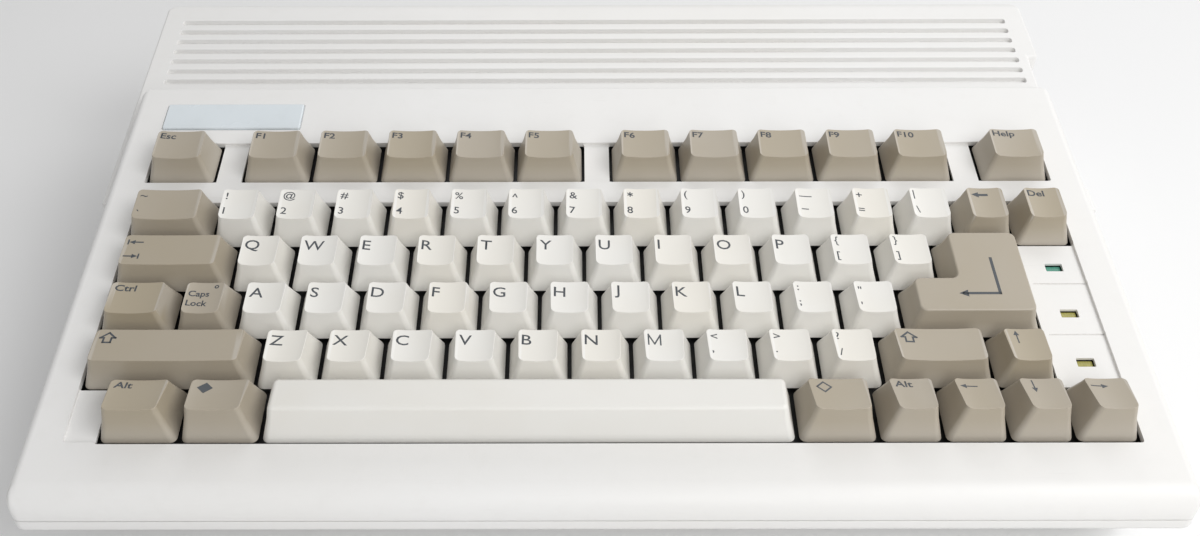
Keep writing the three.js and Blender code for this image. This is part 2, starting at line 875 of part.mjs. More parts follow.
function hingePins(clearance) {
  const radius = hingePinRadius + clearance;
  const length = bayLength + (hingePinLength - fit + clearance) * 2;
  return new THREE.CylinderGeometry(radius, radius, length, hingePinSides)
    .rotateZ(Math.PI / 2)
    .translate((bayLeft + bayRight) / 2, hingeY, hingeZ);
}

function bayCover() {
  const edgeRadius = wall / 2;
  const hingeEdge = hingeY + edgeRadius;
  const outline = [
    [bayFront + fit, baseHeight],
    [hingeEdge, baseHeight, edgeRadius * roundShare],
    [hingeEdge, floorTop, edgeRadius * roundShare],
    [bayFront + fit, floorTop],
  ];
  const plate = solid(across(outline, bayLeft + fit, bayRight - fit));
  return surface(plate.add(solid(hingePins(0))));
}

// Mainboard with its chips

function mainboard() {
  const outline = [
    [boardLeft, boardFront],
    [tongueRight, boardFront],
    [tongueRight, boardStep],
    [boardRight, boardStep],
    [boardRight, boardRear],
    [boardLeft, boardRear],
  ];
  const tongueWidth = tongueRight - boardLeft;
  const tongueDepth = boardStep - boardFront;
  const stripWidth = boardRight - boardLeft;
  const stripDepth = boardRear - connectorDepth - boardStep;

  // Middle and size of each chip as shares of the tongue
  const tongueChipShares = [
    [0.28, 0.52, 0.16, 0.38],
    [0.52, 0.52, 0.16, 0.38],
    [0.74, 0.52, 0.12, 0.5],
    [0.9, 0.7, 0.1, 0.18],
  ];
  // The same as shares of the strip, to the right of the card slot
  const stripChipShares = [
    [0.34, 0.4, 0.07, 0.28],
    [0.45, 0.4, 0.07, 0.28],
    [0.57, 0.55, 0.1, 0.2],
    [0.7, 0.3, 0.08, 0.3],
    [0.82, 0.6, 0.06, 0.3],
  ];
  const middle = boardBottom + boardThickness / 2;
  function chip([x, y, width, depth], originX, originY, spanX, spanY) {
    const left = originX + (x - width / 2) * spanX;
    const near = originY + (y - depth / 2) * spanY;
    return block(left, left + width * spanX, near, near + depth * spanY, middle, boardTop + chipHeight);
  }
  const notches = bossPlaces().map(([x, y]) => (
    post(bossOutside + boardNotchGap, bossSides, x, y, boardBottom - overrun, boardTop + overrun)
  ));
  return surface(joined([
    upright(outline, boardBottom, boardTop),
    ...tongueChipShares.map((shares) => chip(shares, boardLeft, boardFront, tongueWidth, tongueDepth)),
    ...stripChipShares.map((shares) => chip(shares, boardLeft, boardStep, stripWidth, stripDepth)),
  ]).subtract(joined(notches)));
}

// Shield over the mainboard, with its front and rear edges folded down to the board

function shieldPlate() {
  const bottom = boardTop + fit;
  const top = bottom + shieldRise;
  const left = boardLeft + shieldMargin;
  const right = boardRight - connectorDepth - shieldMargin;
  const near = boardFront + shieldMargin;
  const step = boardStep + shieldMargin;
  const far = boardRear - connectorDepth - shieldMargin;
  const inner = tongueRight - shieldMargin;
  const outline = [[left, near], [inner, near], [inner, step], [right, step], [right, far], [left, far]];
  function fold(start, end, y) {
    const middle = top - shieldThickness / 2;
    return block(start + shieldMargin, end - shieldMargin, y, y + shieldThickness, bottom, middle);
  }
  return surface(joined([
    upright(outline, top - shieldThickness, top),
    fold(left, inner, near + shieldThickness),
    fold(inner, right, step + shieldThickness),
    fold(left, right, far - shieldThickness * 2),
  ]));
}

// Disk drive: a sheet metal shell with the mouths of its slot and its button

function diskDrive() {
  const half = diskSlotWidth / 2;
  const tall = diskSlotHeight / 2;
  const ejectHalf = ejectWidth / 2 + fit;
  const ejectTall = ejectHeight / 2 + fit;
  const mouth = driveRight - driveShell - overrun;
  const inside = driveShell;
  return surface(solid(block(driveLeft, driveRight, driveNear, driveFar, driveBottom, driveTop))
    .subtract(joined([
      block(
        driveLeft + inside, driveRight - inside, driveNear + inside, driveFar - inside,
        driveBottom + inside, driveTop - inside,
      ),
      block(
        mouth, driveRight + overrun,
        driveMiddle - half, driveMiddle + half, slotZ - tall, slotZ + tall,
      ),
      block(
        mouth, driveRight + overrun,
        ejectY - ejectHalf, ejectY + ejectHalf, ejectZ - ejectTall, ejectZ + ejectTall,
      ),
    ])));
}

function ejectLeft() {
  return deckHalf + ejectProud - ejectLength;
}

function ejectButton() {
  return block(
    ejectLeft(), deckHalf + ejectProud,
    ejectY - ejectWidth / 2, ejectY + ejectWidth / 2, ejectZ - ejectHeight / 2, ejectZ + ejectHeight / 2,
  );
}

function cardSlot() {
  const half = cardWidth / 2;
  const right = cardLeft + cardSlotDepth + cardGuideWall;
  const guide = solid(block(
    cardLeft, right, cardY - half - cardGuideWall, cardY + half + cardGuideWall, cardBottom, cardTop,
  ));
  const space = block(
    cardLeft - overrun, cardLeft + cardSlotDepth,
    cardY - half, cardY + half, cardBottom + cardGuideWall, cardTop - cardGuideWall,
  );
  return surface(guide.subtract(solid(space)));
}

// Key caps. A cap is a hollow box drawn in towards its top, whose top is dished from side to side.

function taperedBox(base, top, bottom, frontHeight, backHeight, dish, steps) {
  const geometry = new THREE.BoxGeometry(1, 1, 1, steps, 1, 1);
  const position = geometry.attributes.position;
  for (let index = 0; index < position.count; index += 1) {
    const alongX = position.getX(index) + 1 / 2;
    const alongY = position.getY(index) + 1 / 2;
    const high = position.getZ(index) > 0;
    const face = high ? top : base;
    const height = THREE.MathUtils.lerp(frontHeight, backHeight, alongY);
    const fromMiddle = position.getX(index) * 2;
    position.setXYZ(
      index,
      THREE.MathUtils.lerp(face.left, face.right, alongX),
      THREE.MathUtils.lerp(face.near, face.far, alongY),
      high ? height - dish * (1 - fromMiddle * fromMiddle) : bottom,
    );
  }
  return geometry;
}

function capBase(row, start, end) {
  return {
    left: keyX(start) + skirtMarginSide,
    right: keyX(end) - skirtMarginSide,
    near: row.back - rowHalf + skirtMarginFront,
    far: row.back + rowHalf - skirtMarginFront,
  };
}

function capTop(row, start, end) {
  return {
    left: keyX(start) + topInsetSide,
    right: keyX(end) - topInsetSide,
    near: row.back - rowHalf + topInsetFront,
    far: row.back + rowHalf - topInsetBack,
  };
}

function inset(face, distance) {
  return {
    left: face.left + distance,
    right: face.right - distance,
    near: face.near + distance,
    far: face.far - distance,
  };
}

function stemAt(x, y, top) {
  const half = stemSide / 2;
  return block(x - half, x + half, y - half, y + half, stemBottom, top);
}

function hollowBox(base, top, ceiling) {
  return taperedBox(inset(base, capWall), inset(top, capWall / 2), -overrun, ceiling, ceiling, 0, 1);
}

// Distance of the stems from a cap's middle: a wide cap has a guide near each end
function stemOffsets(width) {
  const reach = (width / 2) * keyPitch - keyPitch * (wideKeyShare / 4);
  return width > wideKeyShare * wideKeyShare ? [-reach, 0, reach] : [0];
}

function cap(row, start, width) {
  const end = start + width;
  const dish = width < wideKeyShare ? dishDepth : wideDishDepth;
  const ceiling = Math.min(row.frontHeight, row.backHeight) - dish - capWall;
  const base = capBase(row, start, end);
  const top = capTop(row, start, end);
  const outer = taperedBox(base, top, 0, row.frontHeight, row.backHeight, dish, dishSteps);
  const hollow = hollowBox(base, top, ceiling);
  let body = solid(outer).subtract(solid(hollow));
  stemOffsets(width).forEach((offset) => {
    const middle = (keyX(start) + keyX(end)) / 2;
    body = body.add(solid(stemAt(middle + offset, row.back, ceiling + capWall / 2)));
  });
  return body;
}

function returnCap() {
  const upperBase = capBase(upperRow, returnUpperStartShare, returnEndShare);
  const upperTop = capTop(upperRow, returnUpperStartShare, returnEndShare);
  const lowerBase = capBase(homeRow, returnLowerStartShare, returnEndShare);
  const lowerTop = capTop(homeRow, returnLowerStartShare, returnEndShare);
  const tallBase = { ...upperBase, near: lowerBase.near };
  const tallTop = { ...upperTop, near: lowerTop.near };
  const ceiling = returnHeight - capWall;
  function both(change, bottom, height) {
    return joined([
      taperedBox(change(tallBase, capWall), change(tallTop, capWall / 2), bottom, height, height, 0, 1),
      taperedBox(change(lowerBase, capWall), change(lowerTop, capWall / 2), bottom, height, height, 0, 1),
    ]);
  }
  const stem = returnStem();
  return both((face) => face, 0, returnHeight)
    .subtract(both(inset, -overrun, ceiling))
    .add(solid(stemAt(stem.x, stem.y, ceiling + capWall / 2)));
}

function returnStem() {
  return {
    x: (keyX(returnUpperStartShare) + keyX(returnEndShare)) / 2,
    y: (upperRow.back + homeRow.back) / 2,
  };
}

// A row of letter caps joined by a low web between each two neighbours
function keyBank(row, start, count) {
  const web = webDepth / 2;
  const reach = skirtMarginSide + capWall / 2;
  let bank = cap(row, start, 1);
  for (let key = 1; key < count; key += 1) {
    const between = keyX(start + key);
    bank = bank
      .add(cap(row, start + key, 1))
      .add(solid(block(
        between - reach, between + reach, row.back - web, row.back + web, 0, webHeight,
      )));
  }
  return bank;
}

// Keyboard frame: a plate with a sleeve hole for every stem, in a border that meets the deck

function stemPlaces() {
  const places = [returnStem()];
  function addStems(row, start, width) {
    const middle = keyX(start + width / 2);
    stemOffsets(width).forEach((offset) => places.push({ x: middle + offset, y: row.back }));
  }
  singleKeyShares.forEach(([, row, start, width]) => addStems(row, start, width));
  functionKeys().forEach(({ start }) => addStems(functionRow, start, functionKeyShare));
  bankShares.forEach(([, row, start, count]) => {
    for (let key = 0; key < count; key += 1) {
      addStems(row, start + key, 1);
    }
  });
  return places;
}

function functionKeys() {
  const keys = [];
  functionGroupShares.forEach((start) => {
    for (let key = 0; key < functionKeysPerGroup; key += 1) {
      keys.push({ name: `key_f${keys.length + 1}`, start: start + key * functionKeyShare });
    }
  });
  return keys;
}

const frameOutside = {
  left: keyX(0) - openingMargin - frameBorder,
  right: keyX(rowLengthShare) + openingMargin + frameBorder,
  near: spaceRow.back - rowHalf - openingMargin - frameBorder,
  far: functionRow.back + rowHalf + openingMargin + frameBorder,
};

function keyboardFrame() {
  const { left, right, near, far } = frameOutside;
  const inside = inset(frameOutside, frameBorder - openingMargin);
  const rimTop = deckRise - wall - fit;
  const body = solid(block(left, right, near, far, frameBottom, rimTop));
  const above = solid(block(
    inside.left, inside.right, inside.near, inside.far, frameTop, rimTop + overrun,
  ));
  const below = solid(block(
    inside.left, inside.right, inside.near, inside.far, frameBottom - overrun, frameTop - framePlate,
  ));
  const half = stemSide / 2 + fit;
  let frame = body.subtract(above).subtract(below);
  stemPlaces().forEach(({ x, y }) => {
    frame = frame.subtract(solid(block(
      x - half, x + half, y - half, y + half, frameTop - framePlate - overrun, frameTop + overrun,
    )));
  });
  return surface(frame);
}

function sheetUnderFrame(top, thickness) {
  const { left, right, near, far } = frameOutside;
  return block(left, right, near, far, top - thickness, top);
}

// Assembly

addPart(computer, 'top_case', topShell(), casePlastic);
addPart(computer, 'bottom_case', bottomShell(), casePlastic);
addPart(computer, 'trapdoor_cover', bayCover(), casePlastic);
addPart(computer, 'mainboard', mainboard(), boardGreen);
addPart(computer, 'shield_plate', shieldPlate(), sheetSteel);
addPart(computer, 'floppy_drive', diskDrive(), sheetSteel);
addPart(computer, 'floppy_eject_button', ejectButton(), palePlastic);
addPart(computer, 'card_slot', cardSlot(), blackPlastic);

footPlaces().forEach(({ name, x, y }) => {
  const foot = post(footRadius, footSides, 0, 0, 0, baseHeight + footRecess - fit);
  addPart(computer, name, foot, footRubber).position.set(x, y, 0);
});

[...rearPorts, ...sidePorts].forEach((port) => {
  addPart(computer, port.name, port.kind(port), sheetSteel).applyMatrix4(port.place);
});

const lampNames = ['power_lamp', 'floppy_lamp', 'hard_disk_lamp'];
lampPlaces().forEach(({ x, y }, index) => {
  const lens = block(
    -lampLength / 2 + fit, lampLength / 2 - fit,
    -lampWidth / 2 + fit, lampWidth / 2 - fit,
    frameTop + fit, deckRise - lampRecess,
  );
  addPart(keyboard, lampNames[index], lens, index === 0 ? greenLens : amberLens).position.set(x, y, 0);
});

addPart(keyboard, 'keyboard_frame', keyboardFrame(), blackPlastic);
addPart(keyboard, 'keyboard_membrane', sheetUnderFrame(membraneTop, membraneThickness), clearSheet);
addPart(keyboard, 'keyboard_backplate', sheetUnderFrame(backplateTop, backplateThickness), sheetSteel);

singleKeyShares.forEach(([name, row, start, width]) => {
  const finish = name === 'key_space' ? palePlastic : tanPlastic;
  addPart(keyboard, name, surface(cap(row, start, width)), finish);
});
functionKeys().forEach(({ name, start }) => {
  addPart(keyboard, name, surface(cap(functionRow, start, functionKeyShare)), tanPlastic);
});
addPart(keyboard, 'key_return', surface(returnCap()), tanPlastic);
bankShares.forEach(([name, row, start, count]) => {
  addPart(keyboard, name, surface(keyBank(row, start, count)), palePlastic);
});

export default computer;
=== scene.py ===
"""A vintage home computer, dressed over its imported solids.

Sizes are in millimetres and turned into metres as each piece is made. X points right, Y to the
back and Z up. The keys, the deck and its openings are modelled flat, on the key plane, and then
tilted with it.
"""

import math

import bmesh
import bpy
from mathutils import Matrix, Vector


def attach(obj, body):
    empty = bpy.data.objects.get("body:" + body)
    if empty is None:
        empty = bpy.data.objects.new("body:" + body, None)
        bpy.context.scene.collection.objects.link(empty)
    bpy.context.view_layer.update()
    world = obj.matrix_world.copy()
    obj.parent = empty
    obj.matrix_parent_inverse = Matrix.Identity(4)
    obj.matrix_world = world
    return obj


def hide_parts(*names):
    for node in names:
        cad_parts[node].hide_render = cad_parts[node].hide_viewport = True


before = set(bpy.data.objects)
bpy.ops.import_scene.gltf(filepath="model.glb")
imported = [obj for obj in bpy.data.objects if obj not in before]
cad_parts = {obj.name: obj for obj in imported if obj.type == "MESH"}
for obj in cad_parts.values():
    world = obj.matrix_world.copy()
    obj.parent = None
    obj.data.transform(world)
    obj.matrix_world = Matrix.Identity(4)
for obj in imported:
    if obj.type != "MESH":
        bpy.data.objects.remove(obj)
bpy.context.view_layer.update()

MM = 0.001

# The key plane: the level of the skirts, with its origin in the middle of the number row
KEY_TILT = math.radians(9)
KEY_PLANE_Y, KEY_PLANE_Z = -15.598, 59.585
KEY_PLANE = Matrix.Translation(Vector((0, KEY_PLANE_Y, KEY_PLANE_Z)) * MM) @ Matrix.Rotation(
    KEY_TILT, 4, "X"
)
TO_PLANE = KEY_PLANE.inverted()

# -------- camera

CAMERA_PLACE = Vector((-7.84, -272.2, 299.5))
CAMERA_PITCH = math.radians(50.02)
CAMERA_YAW = math.radians(-0.24)
CAMERA_ROLL = math.radians(-0.30)

bpy.ops.object.camera_add()
camera = bpy.context.active_object
camera.name = "camera"
camera.data.lens = 35.97
camera.data.sensor_width = 36
camera.data.shift_x = 0.02367
camera.data.shift_y = 0.00342
camera.data.clip_start = 0.01
camera.matrix_world = (
    KEY_PLANE
    @ Matrix.Translation(CAMERA_PLACE * MM)
    @ Matrix.Rotation(-CAMERA_YAW, 4, "Z")
    @ Matrix.Rotation(math.pi / 2 - CAMERA_PITCH, 4, "X")
    @ Matrix.Rotation(CAMERA_ROLL, 4, "Z")
)
bpy.context.scene.camera = camera


# -------- hand tools


def only(*pieces):
    """Object mode, with just these pieces selected and the first one active."""
    if bpy.context.mode != "OBJECT":
        bpy.ops.object.mode_set(mode="OBJECT")
    bpy.ops.object.select_all(action="DESELECT")
    for piece in pieces:
        piece.select_set(True)
    if pieces:
        bpy.context.view_layer.objects.active = pieces[0]


def named(name):
    piece = bpy.context.active_object
    piece.name = piece.data.name = name
    return piece


def settle(piece):
    """Puts the place, turn and size of the piece into its mesh."""
    only(piece)
    bpy.ops.object.transform_apply(location=True, rotation=True, scale=True)
    return piece


def add_block(name, low, high):
    low, high = Vector(low) * MM, Vector(high) * MM
    only()
    bpy.ops.mesh.primitive_cube_add(size=1, location=(low + high) / 2)
    piece = named(name)
    piece.scale = high - low
    return settle(piece)


def add_round(name, centre, radius, length, sides=24, axis="Z"):
    only()
    turn = {"X": (0, math.pi / 2, 0), "Y": (-math.pi / 2, 0, 0), "Z": (0, 0, 0)}[axis]
    bpy.ops.mesh.primitive_cylinder_add(
        vertices=sides,
        radius=radius * MM,
        depth=length * MM,
        location=Vector(centre) * MM,
        rotation=turn,
    )
    return settle(named(name))


def add_plane(name, left, right, front, back, height):
    only()
    centre = Vector(((left + right) / 2, (front + back) / 2, height)) * MM
    bpy.ops.mesh.primitive_plane_add(size=1, location=centre)
    piece = named(name)
    piece.scale = ((right - left) * MM, (back - front) * MM, 1)
    return settle(piece)


def copies(model, places):
    """Copies of a piece, moved by each place. The piece itself goes."""
    twins = []
    for place in places:
        only(model)
        bpy.ops.object.duplicate(linked=False)
        piece = named(model.name)
        piece.location = Vector(place) * MM
        twins.append(settle(piece))
    bpy.data.objects.remove(model)
    return twins


def every(item):
    return True


def choose(piece, kind, test=every):
    """Edit mode, with the verts, edges or faces that pass the test selected."""
    only(piece)
    bpy.ops.object.mode_set(mode="EDIT")
    bpy.ops.mesh.select_mode(type={"verts": "VERT", "edges": "EDGE", "faces": "FACE"}[kind])
    bpy.ops.mesh.select_all(action="DESELECT")
    mesh = bmesh.from_edit_mesh(piece.data)
    found = 0
    for item in getattr(mesh, kind):
        if test(item):
            item.select_set(True)
            found += 1
    mesh.select_flush_mode()
    bmesh.update_edit_mesh(piece.data)
    return found


def done():
    bpy.ops.object.mode_set(mode="OBJECT")


def move(piece, test, offset):
    choose(piece, "verts", test)
    bpy.ops.transform.translate(value=Vector(offset) * MM)
    done()


def slice_at(piece, place, facing):
    """Adds the edges where a plane passes through a piece."""
    choose(piece, "verts")
    bpy.ops.mesh.bisect(plane_co=[part * MM for part in place], plane_no=facing)
    done()


def round_edges(piece, test, radius, segments=4):
    if choose(piece, "edges", test):
        bpy.ops.mesh.bevel(
            offset=radius * MM, segments=segments, affect="EDGES", clamp_overlap=True
        )
    done()


def round_corners(piece, radius, segments):
    """Rounds the corners of a flat sheet."""
    choose(piece, "verts")
    bpy.ops.mesh.bevel(offset=radius * MM, segments=segments, affect="VERTICES")
    done()


def apply_modifier(piece, kind, **settings):
    only(piece)
    modifier = piece.modifiers.new(kind.lower(), kind)
    for key, value in settings.items():
        setattr(modifier, key, value)
    bpy.ops.object.modifier_apply(modifier=modifier.name)


def combine(piece, others, operation):
    for other in others:
        apply_modifier(piece, "BOOLEAN", operation=operation, solver="EXACT", object=other)
        bpy.data.objects.remove(other)
    return piece


def cut(piece, *cutters):
    return combine(piece, cutters, "DIFFERENCE")


def add(piece, *others):
    return combine(piece, others, "UNION")


def clean(piece):
    """Merges the stray points that a boolean leaves."""
    choose(piece, "verts")
    bpy.ops.mesh.remove_doubles(threshold=0.002 * MM)
    bpy.ops.mesh.dissolve_degenerate(threshold=0.002 * MM)
    done()
    return piece


def join(name, pieces):
    only(*pieces)
    if len(pieces) > 1:
        bpy.ops.object.join()
    return named(name)


def tilt(piece):
    """Takes a piece from the flat key plane to its place in the case."""
    piece.matrix_world = KEY_PLANE
    return settle(piece)


def smooth(piece, angle=35):
    only(piece)
    bpy.ops.object.shade_smooth_by_angle(angle=math.radians(angle))
    apply_modifier(piece, "WEIGHTED_NORMAL", keep_sharp=True, weight=80)
    return piece


# -------- tests of edges


def near(value, target, slack=0.05):
    return abs(value - target) < slack


def at(vertex):
    """A vertex's place, in millimetres."""
    return vertex.co / MM


def on_plane(vertex):
    """A vertex's place on the key plane, in millimetres."""
    return (TO_PLANE @ vertex.co) / MM


def ends(edge):
    return [at(vertex) for vertex in edge.verts]


def turn_of(edge):
    """The angle at an edge in degrees: positive on an outside corner, zero on a flat face."""
    return math.degrees(edge.calc_face_angle_signed(0.0))


def run(edge, axes):
    """How an edge goes along one axis, such as x, or two of them, such as xy."""
    first, second = ends(edge)
    return getattr(first - second, axes)


def upright(edge):
    return run(edge, "xy").length < 0.01


def both(test, least=None):
    """A test for edges whose ends both pass a test of places, and that turn more than least."""
    return lambda edge: all(map(test, ends(edge))) and (least is None or turn_of(edge) > least)


def standing(test, least=None):
    """The same test, for upright edges only."""
    passes = both(test, least)
    return lambda edge: upright(edge) and passes(edge)


def level(least=None, **levels):
    """A test for edges that lie at these places, such as z=4."""
    return both(
        lambda place: all(near(getattr(place, axis), value) for axis, value in levels.items()),
        least,
    )


def outer(**levels):
    return level(60, **levels)


def runs_along(axis):
    """A test for the edges that run along an axis."""
    across = {"x": "yz", "y": "xz"}[axis]
    return lambda edge: run(edge, across).length < 0.01


def round_uprights(piece, radius):
    round_edges(piece, lambda edge: upright(edge) and abs(turn_of(edge)) > 30, radius)
    return piece


# -------- materials


def feed(tree, socket, value):
    """Sets an input to a value, or links it to the output of another node."""
    if isinstance(value, bpy.types.NodeSocket):
        tree.links.new(value, socket)
    else:
        socket.default_value = value


def add_node(tree, kind, output, inputs=None, **settings):
    """Adds a node with these inputs and gives one of its outputs."""
    node = tree.nodes.new("ShaderNode" + kind)
    for key, value in settings.items():
        setattr(node, key, value)
    for key, value in (inputs or {}).items():
        feed(tree, node.inputs[key], value)
    return node.outputs[output]


def scaled(color, share):
    return tuple(part * share for part in color)


class Finish:
    """A material in the making, with shortcuts for the nodes that it uses."""

    def __init__(self, name, color, roughness, metallic=0.0):
        self.material = bpy.data.materials.new(name)
        self.material.use_nodes = True
        self.material.diffuse_color = (*color, 1)
        self.tree = self.material.node_tree
        self.give("Base Color", (*color, 1))
        self.give("Roughness", roughness)
        self.give("Metallic", metallic)
        self.place = self.node("TexCoord", "Object")

    def give(self, name, value):
        """Sets an input of the shader."""
        feed(self.tree, self.tree.nodes["Principled BSDF"].inputs[name], value)

    def node(self, kind, output, inputs=None, **settings):
        return add_node(self.tree, kind, output, inputs, **settings)

    def noise(self, scale, detail=3.0, roughness=0.5, place=None):
        values = {"Scale": scale, "Detail": detail, "Roughness": roughness}
        values["Vector"] = self.place if place is None else place
        return self.node("TexNoise", "Fac", values)

    def stretched(self, scale, turn=0.0):
        values = {"Scale": scale, "Rotation": (0, 0, turn), "Vector": self.place}
        return self.node("Mapping", "Vector", values)

    def span(self, value, low, high, start, end):
        """Takes the values from low to high to those from start to end."""
        values = {"From Min": low, "From Max": high, "To Min": start, "To Max": end}
        return self.node("MapRange", "Result", {**values, "Value": value})

    def blend(self, share, first, second):
        """Mixes two colours. Each is a colour or the output of a node."""
        first, second = (
            (*color, 1) if isinstance(color, tuple) else color for color in (first, second)
        )
        return self.node("Mix", 2, {"Factor": share, 6: first, 7: second}, data_type="RGBA")

    def patches(self, base, other, pattern, low, high, share):
        """Turns a colour to another one where a pattern goes from low to high."""
        return self.blend(self.span(pattern, low, high, 0, share), base, other)

    def relief(self, height, strength, distance, below=None):
        values = {"Strength": strength, "Distance": distance, "Height": height}
        if below is not None:
            values["Normal"] = below
        bump = self.node("Bump", "Normal", values)
        self.give("Normal", bump)
        return bump


def moulded_plastic(name, color, aged, roughness, grain=1.0):
    """Moulded plastic: a fine grain, a slow shift towards an aged tint, faint scuffs and dust."""
    look = Finish(name, color, roughness)
    tint = look.patches(color, aged, look.noise(7, 2), 0.35, 0.7, 1)
    tint = look.patches(tint, scaled(aged, 0.965), look.noise(160, 4, 0.6), 0.52, 0.8, 0.4)
    scuffs = look.noise(1, 2, place=look.stretched((40, 900, 40), 0.5))
    tint = look.patches(tint, scaled(aged, 0.9), scuffs, 0.71, 0.79, 0.3)
    look.give("Base Color", tint)
    polish = look.noise(55, 3)
    look.give("Roughness", look.span(polish, 0.3, 0.7, roughness - 0.05, roughness + 0.06))
    first = look.relief(look.noise(2600, 2, 0.6), 0.22 * grain, 0.00006)
    look.relief(look.noise(420, 2), 0.10 * grain, 0.0001, first)
    return look.material


def key_plastic(name, color, aged, roughness):
    """Key plastic: smoother than the case, each cap with its own tone, and a painted highlight that
    lightens the rims.
    """
    look = Finish(name, color, roughness)
    tint = look.blend(look.node("Attribute", "Fac", attribute_name="tone"), color, aged)
    shade = scaled(aged, 0.965)
    tint = look.patches(tint, shade, look.noise(45, 2), 0.4, 0.75, 0.45)
    tint = look.patches(tint, shade, look.noise(1500, 2), 0.68, 0.8, 0.15)
    # Painted highlight: where the mesh is sharpest, at the rims of the caps, the colour is
    # lightened towards white in place of the light that the rounded rims catch.
    painted_rim_highlight = tuple(part + (1 - part) * 0.16 for part in color)
    rims = look.node("NewGeometry", "Pointiness")
    look.give("Base Color", look.patches(tint, painted_rim_highlight, rims, 0.53, 0.60, 0.75))
    polish = look.noise(60, 2)
    look.give("Roughness", look.span(polish, 0.35, 0.65, roughness - 0.02, roughness + 0.03))
    look.relief(look.noise(3200, 2), 0.07, 0.00003)
    return look.material


def plated_metal(name, color, roughness):
    """Plated metal: brushed along one way, with duller clouds."""
    look = Finish(name, color, roughness, 1.0)
    brushed = look.noise(1, 3, place=look.stretched((60, 60, 2500)))
    dull = scaled(color, 0.78)
    look.give("Base Color", look.patches(color, dull, look.noise(90, 4), 0.4, 0.75, 1))
    look.give("Roughness", look.span(brushed, 0.3, 0.7, roughness - 0.08, roughness + 0.12))
    look.relief(brushed, 0.15, 0.00004)
    return look.material


def rubber(name, color):
    """Rubber: matt, with a fine grain and dust."""
    look = Finish(name, color, 0.8)
    dusty = tuple(part * 1.8 + 0.01 for part in color)
    look.give("Base Color", look.patches(color, dusty, look.noise(300, 4), 0.45, 0.8, 0.7))
    look.relief(look.noise(1800, 3), 0.3, 0.00008)
    return look.material


def tinted_lens(name, color, deep):
    """A lamp lens: coloured clear plastic with fine ribs inside."""
    look = Finish(name, color, 0.22)
    ribs = {"Scale": 420, "Distortion": 0.3, "Vector": look.place}
    wave = look.node("TexWave", "Fac", ribs)
    tint = look.patches(color, deep, look.noise(600, 2), 0.3, 0.7, 0.6)
    look.give("Base Color", look.patches(tint, deep, wave, 0, 1, 0.35))
    look.relief(wave, 0.12, 0.00008)
    return look.material


def circuit_green(name):
    """Solder mask with a faint pattern of tracks and small pads."""
    color, track, pad = (0.020, 0.085, 0.045), (0.035, 0.14, 0.07), (0.45, 0.44, 0.40)
    look = Finish(name, color, 0.35)
    black, white = (0, 0, 0, 1), (1, 1, 1, 1)
    grid = {"Color1": black, "Color2": black, "Mortar": white, "Scale": 90, "Mortar Size": 0.06}
    tracks = look.node("TexBrick", "Color", {**grid, "Vector": look.place})
    cells = look.node("TexVoronoi", "Distance", {"Scale": 300, "Vector": look.place})
    tint = look.blend(tracks, color, track)
    look.give("Base Color", look.blend(look.span(cells, 0.12, 0.18, 0.8, 0), tint, pad))
    look.relief(tracks.node.outputs["Fac"], 0.1, 0.0001)
    return look.material


case_plastic = moulded_plastic("case_plastic", (0.80, 0.795, 0.785), (0.785, 0.775, 0.755), 0.42)
tan_plastic = key_plastic("tan_key_plastic", (0.385, 0.340, 0.272), (0.368, 0.315, 0.228), 0.37)
pale_plastic = key_plastic("pale_key_plastic", (0.765, 0.752, 0.715), (0.752, 0.724, 0.66), 0.36)
black_plastic = moulded_plastic("black_plastic", (0.018, 0.018, 0.019), (0.026, 0.026, 0.026), 0.5)
print_ink = moulded_plastic("key_print", (0.040, 0.048, 0.058), (0.055, 0.062, 0.070), 0.5, 0.3)
badge_face = moulded_plastic("badge_face", (0.70, 0.755, 0.79), (0.66, 0.715, 0.745), 0.25, 0.3)
sheet_steel = plated_metal("sheet_steel", (0.60, 0.61, 0.62), 0.34)
shell_metal = plated_metal("connector_shell", (0.66, 0.655, 0.64), 0.28)
gold_plate = plated_metal("gold_contact", (0.80, 0.58, 0.22), 0.25)
foot_rubber = rubber("foot_rubber", (0.025, 0.025, 0.027))
green_lens = tinted_lens("green_lens", (0.07, 0.30, 0.21), (0.03, 0.19, 0.14))
amber_lens = tinted_lens("amber_lens", (0.40, 0.37, 0.10), (0.27, 0.25, 0.06))
board_green = circuit_green("circuit_board")
sheet_film = moulded_plastic("membrane_film", (0.32, 0.36, 0.33), (0.28, 0.31, 0.28), 0.3)
jack_yellow = moulded_plastic("jack_yellow", (0.75, 0.55, 0.05), (0.68, 0.48, 0.05), 0.4)
jack_white = moulded_plastic("jack_white", (0.75, 0.74, 0.71), (0.70, 0.68, 0.62), 0.4)
jack_red = moulded_plastic("jack_red", (0.55, 0.04, 0.03), (0.45, 0.03, 0.03), 0.4)


def paint(piece, material):
    piece.data.materials.clear()
    piece.data.materials.append(material)
    return piece


def stand_for(piece, node, body):
    """Puts a painted piece in the place of its node."""
    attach(piece, body)
    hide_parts(node)


# -------- key caps

PITCH = 19.05
ROW_LENGTH = 16.5
SKIRT_SIDE, SKIRT_FRONT = 0.65, 0.42
TOP_SIDE, TOP_FRONT, TOP_BACK = 3.55, 3.5, 2.6
CAP_EXCESS = 2.2
SKIRT_CORNER, TOP_CORNER, CORNER_STEPS = 2.0, 1.5, 5
SKIRT_LOW = -0.9
CAP_WALL, CAP_HOLLOW, HOLLOW_TAPER = 1.4, 6.2, 0.78
DISH, WIDE_DISH = 0.8, 0.32
SCOOP = 0.035

# Each row: how far back it is, and the heights of its caps at the front and the back of the top
FUNCTION_ROW = (29.16, 9.5, 9.75)
NUMBER_ROW = (0, 10.4, 10.5)
UPPER_ROW = (-PITCH, 9.3, 8.7)
HOME_ROW = (-PITCH * 2, 9.0, 7.9)
LOWER_ROW = (-PITCH * 3, 9.9, 8.1)
SPACE_ROW = (-PITCH * 4, 12.8, 9.1)

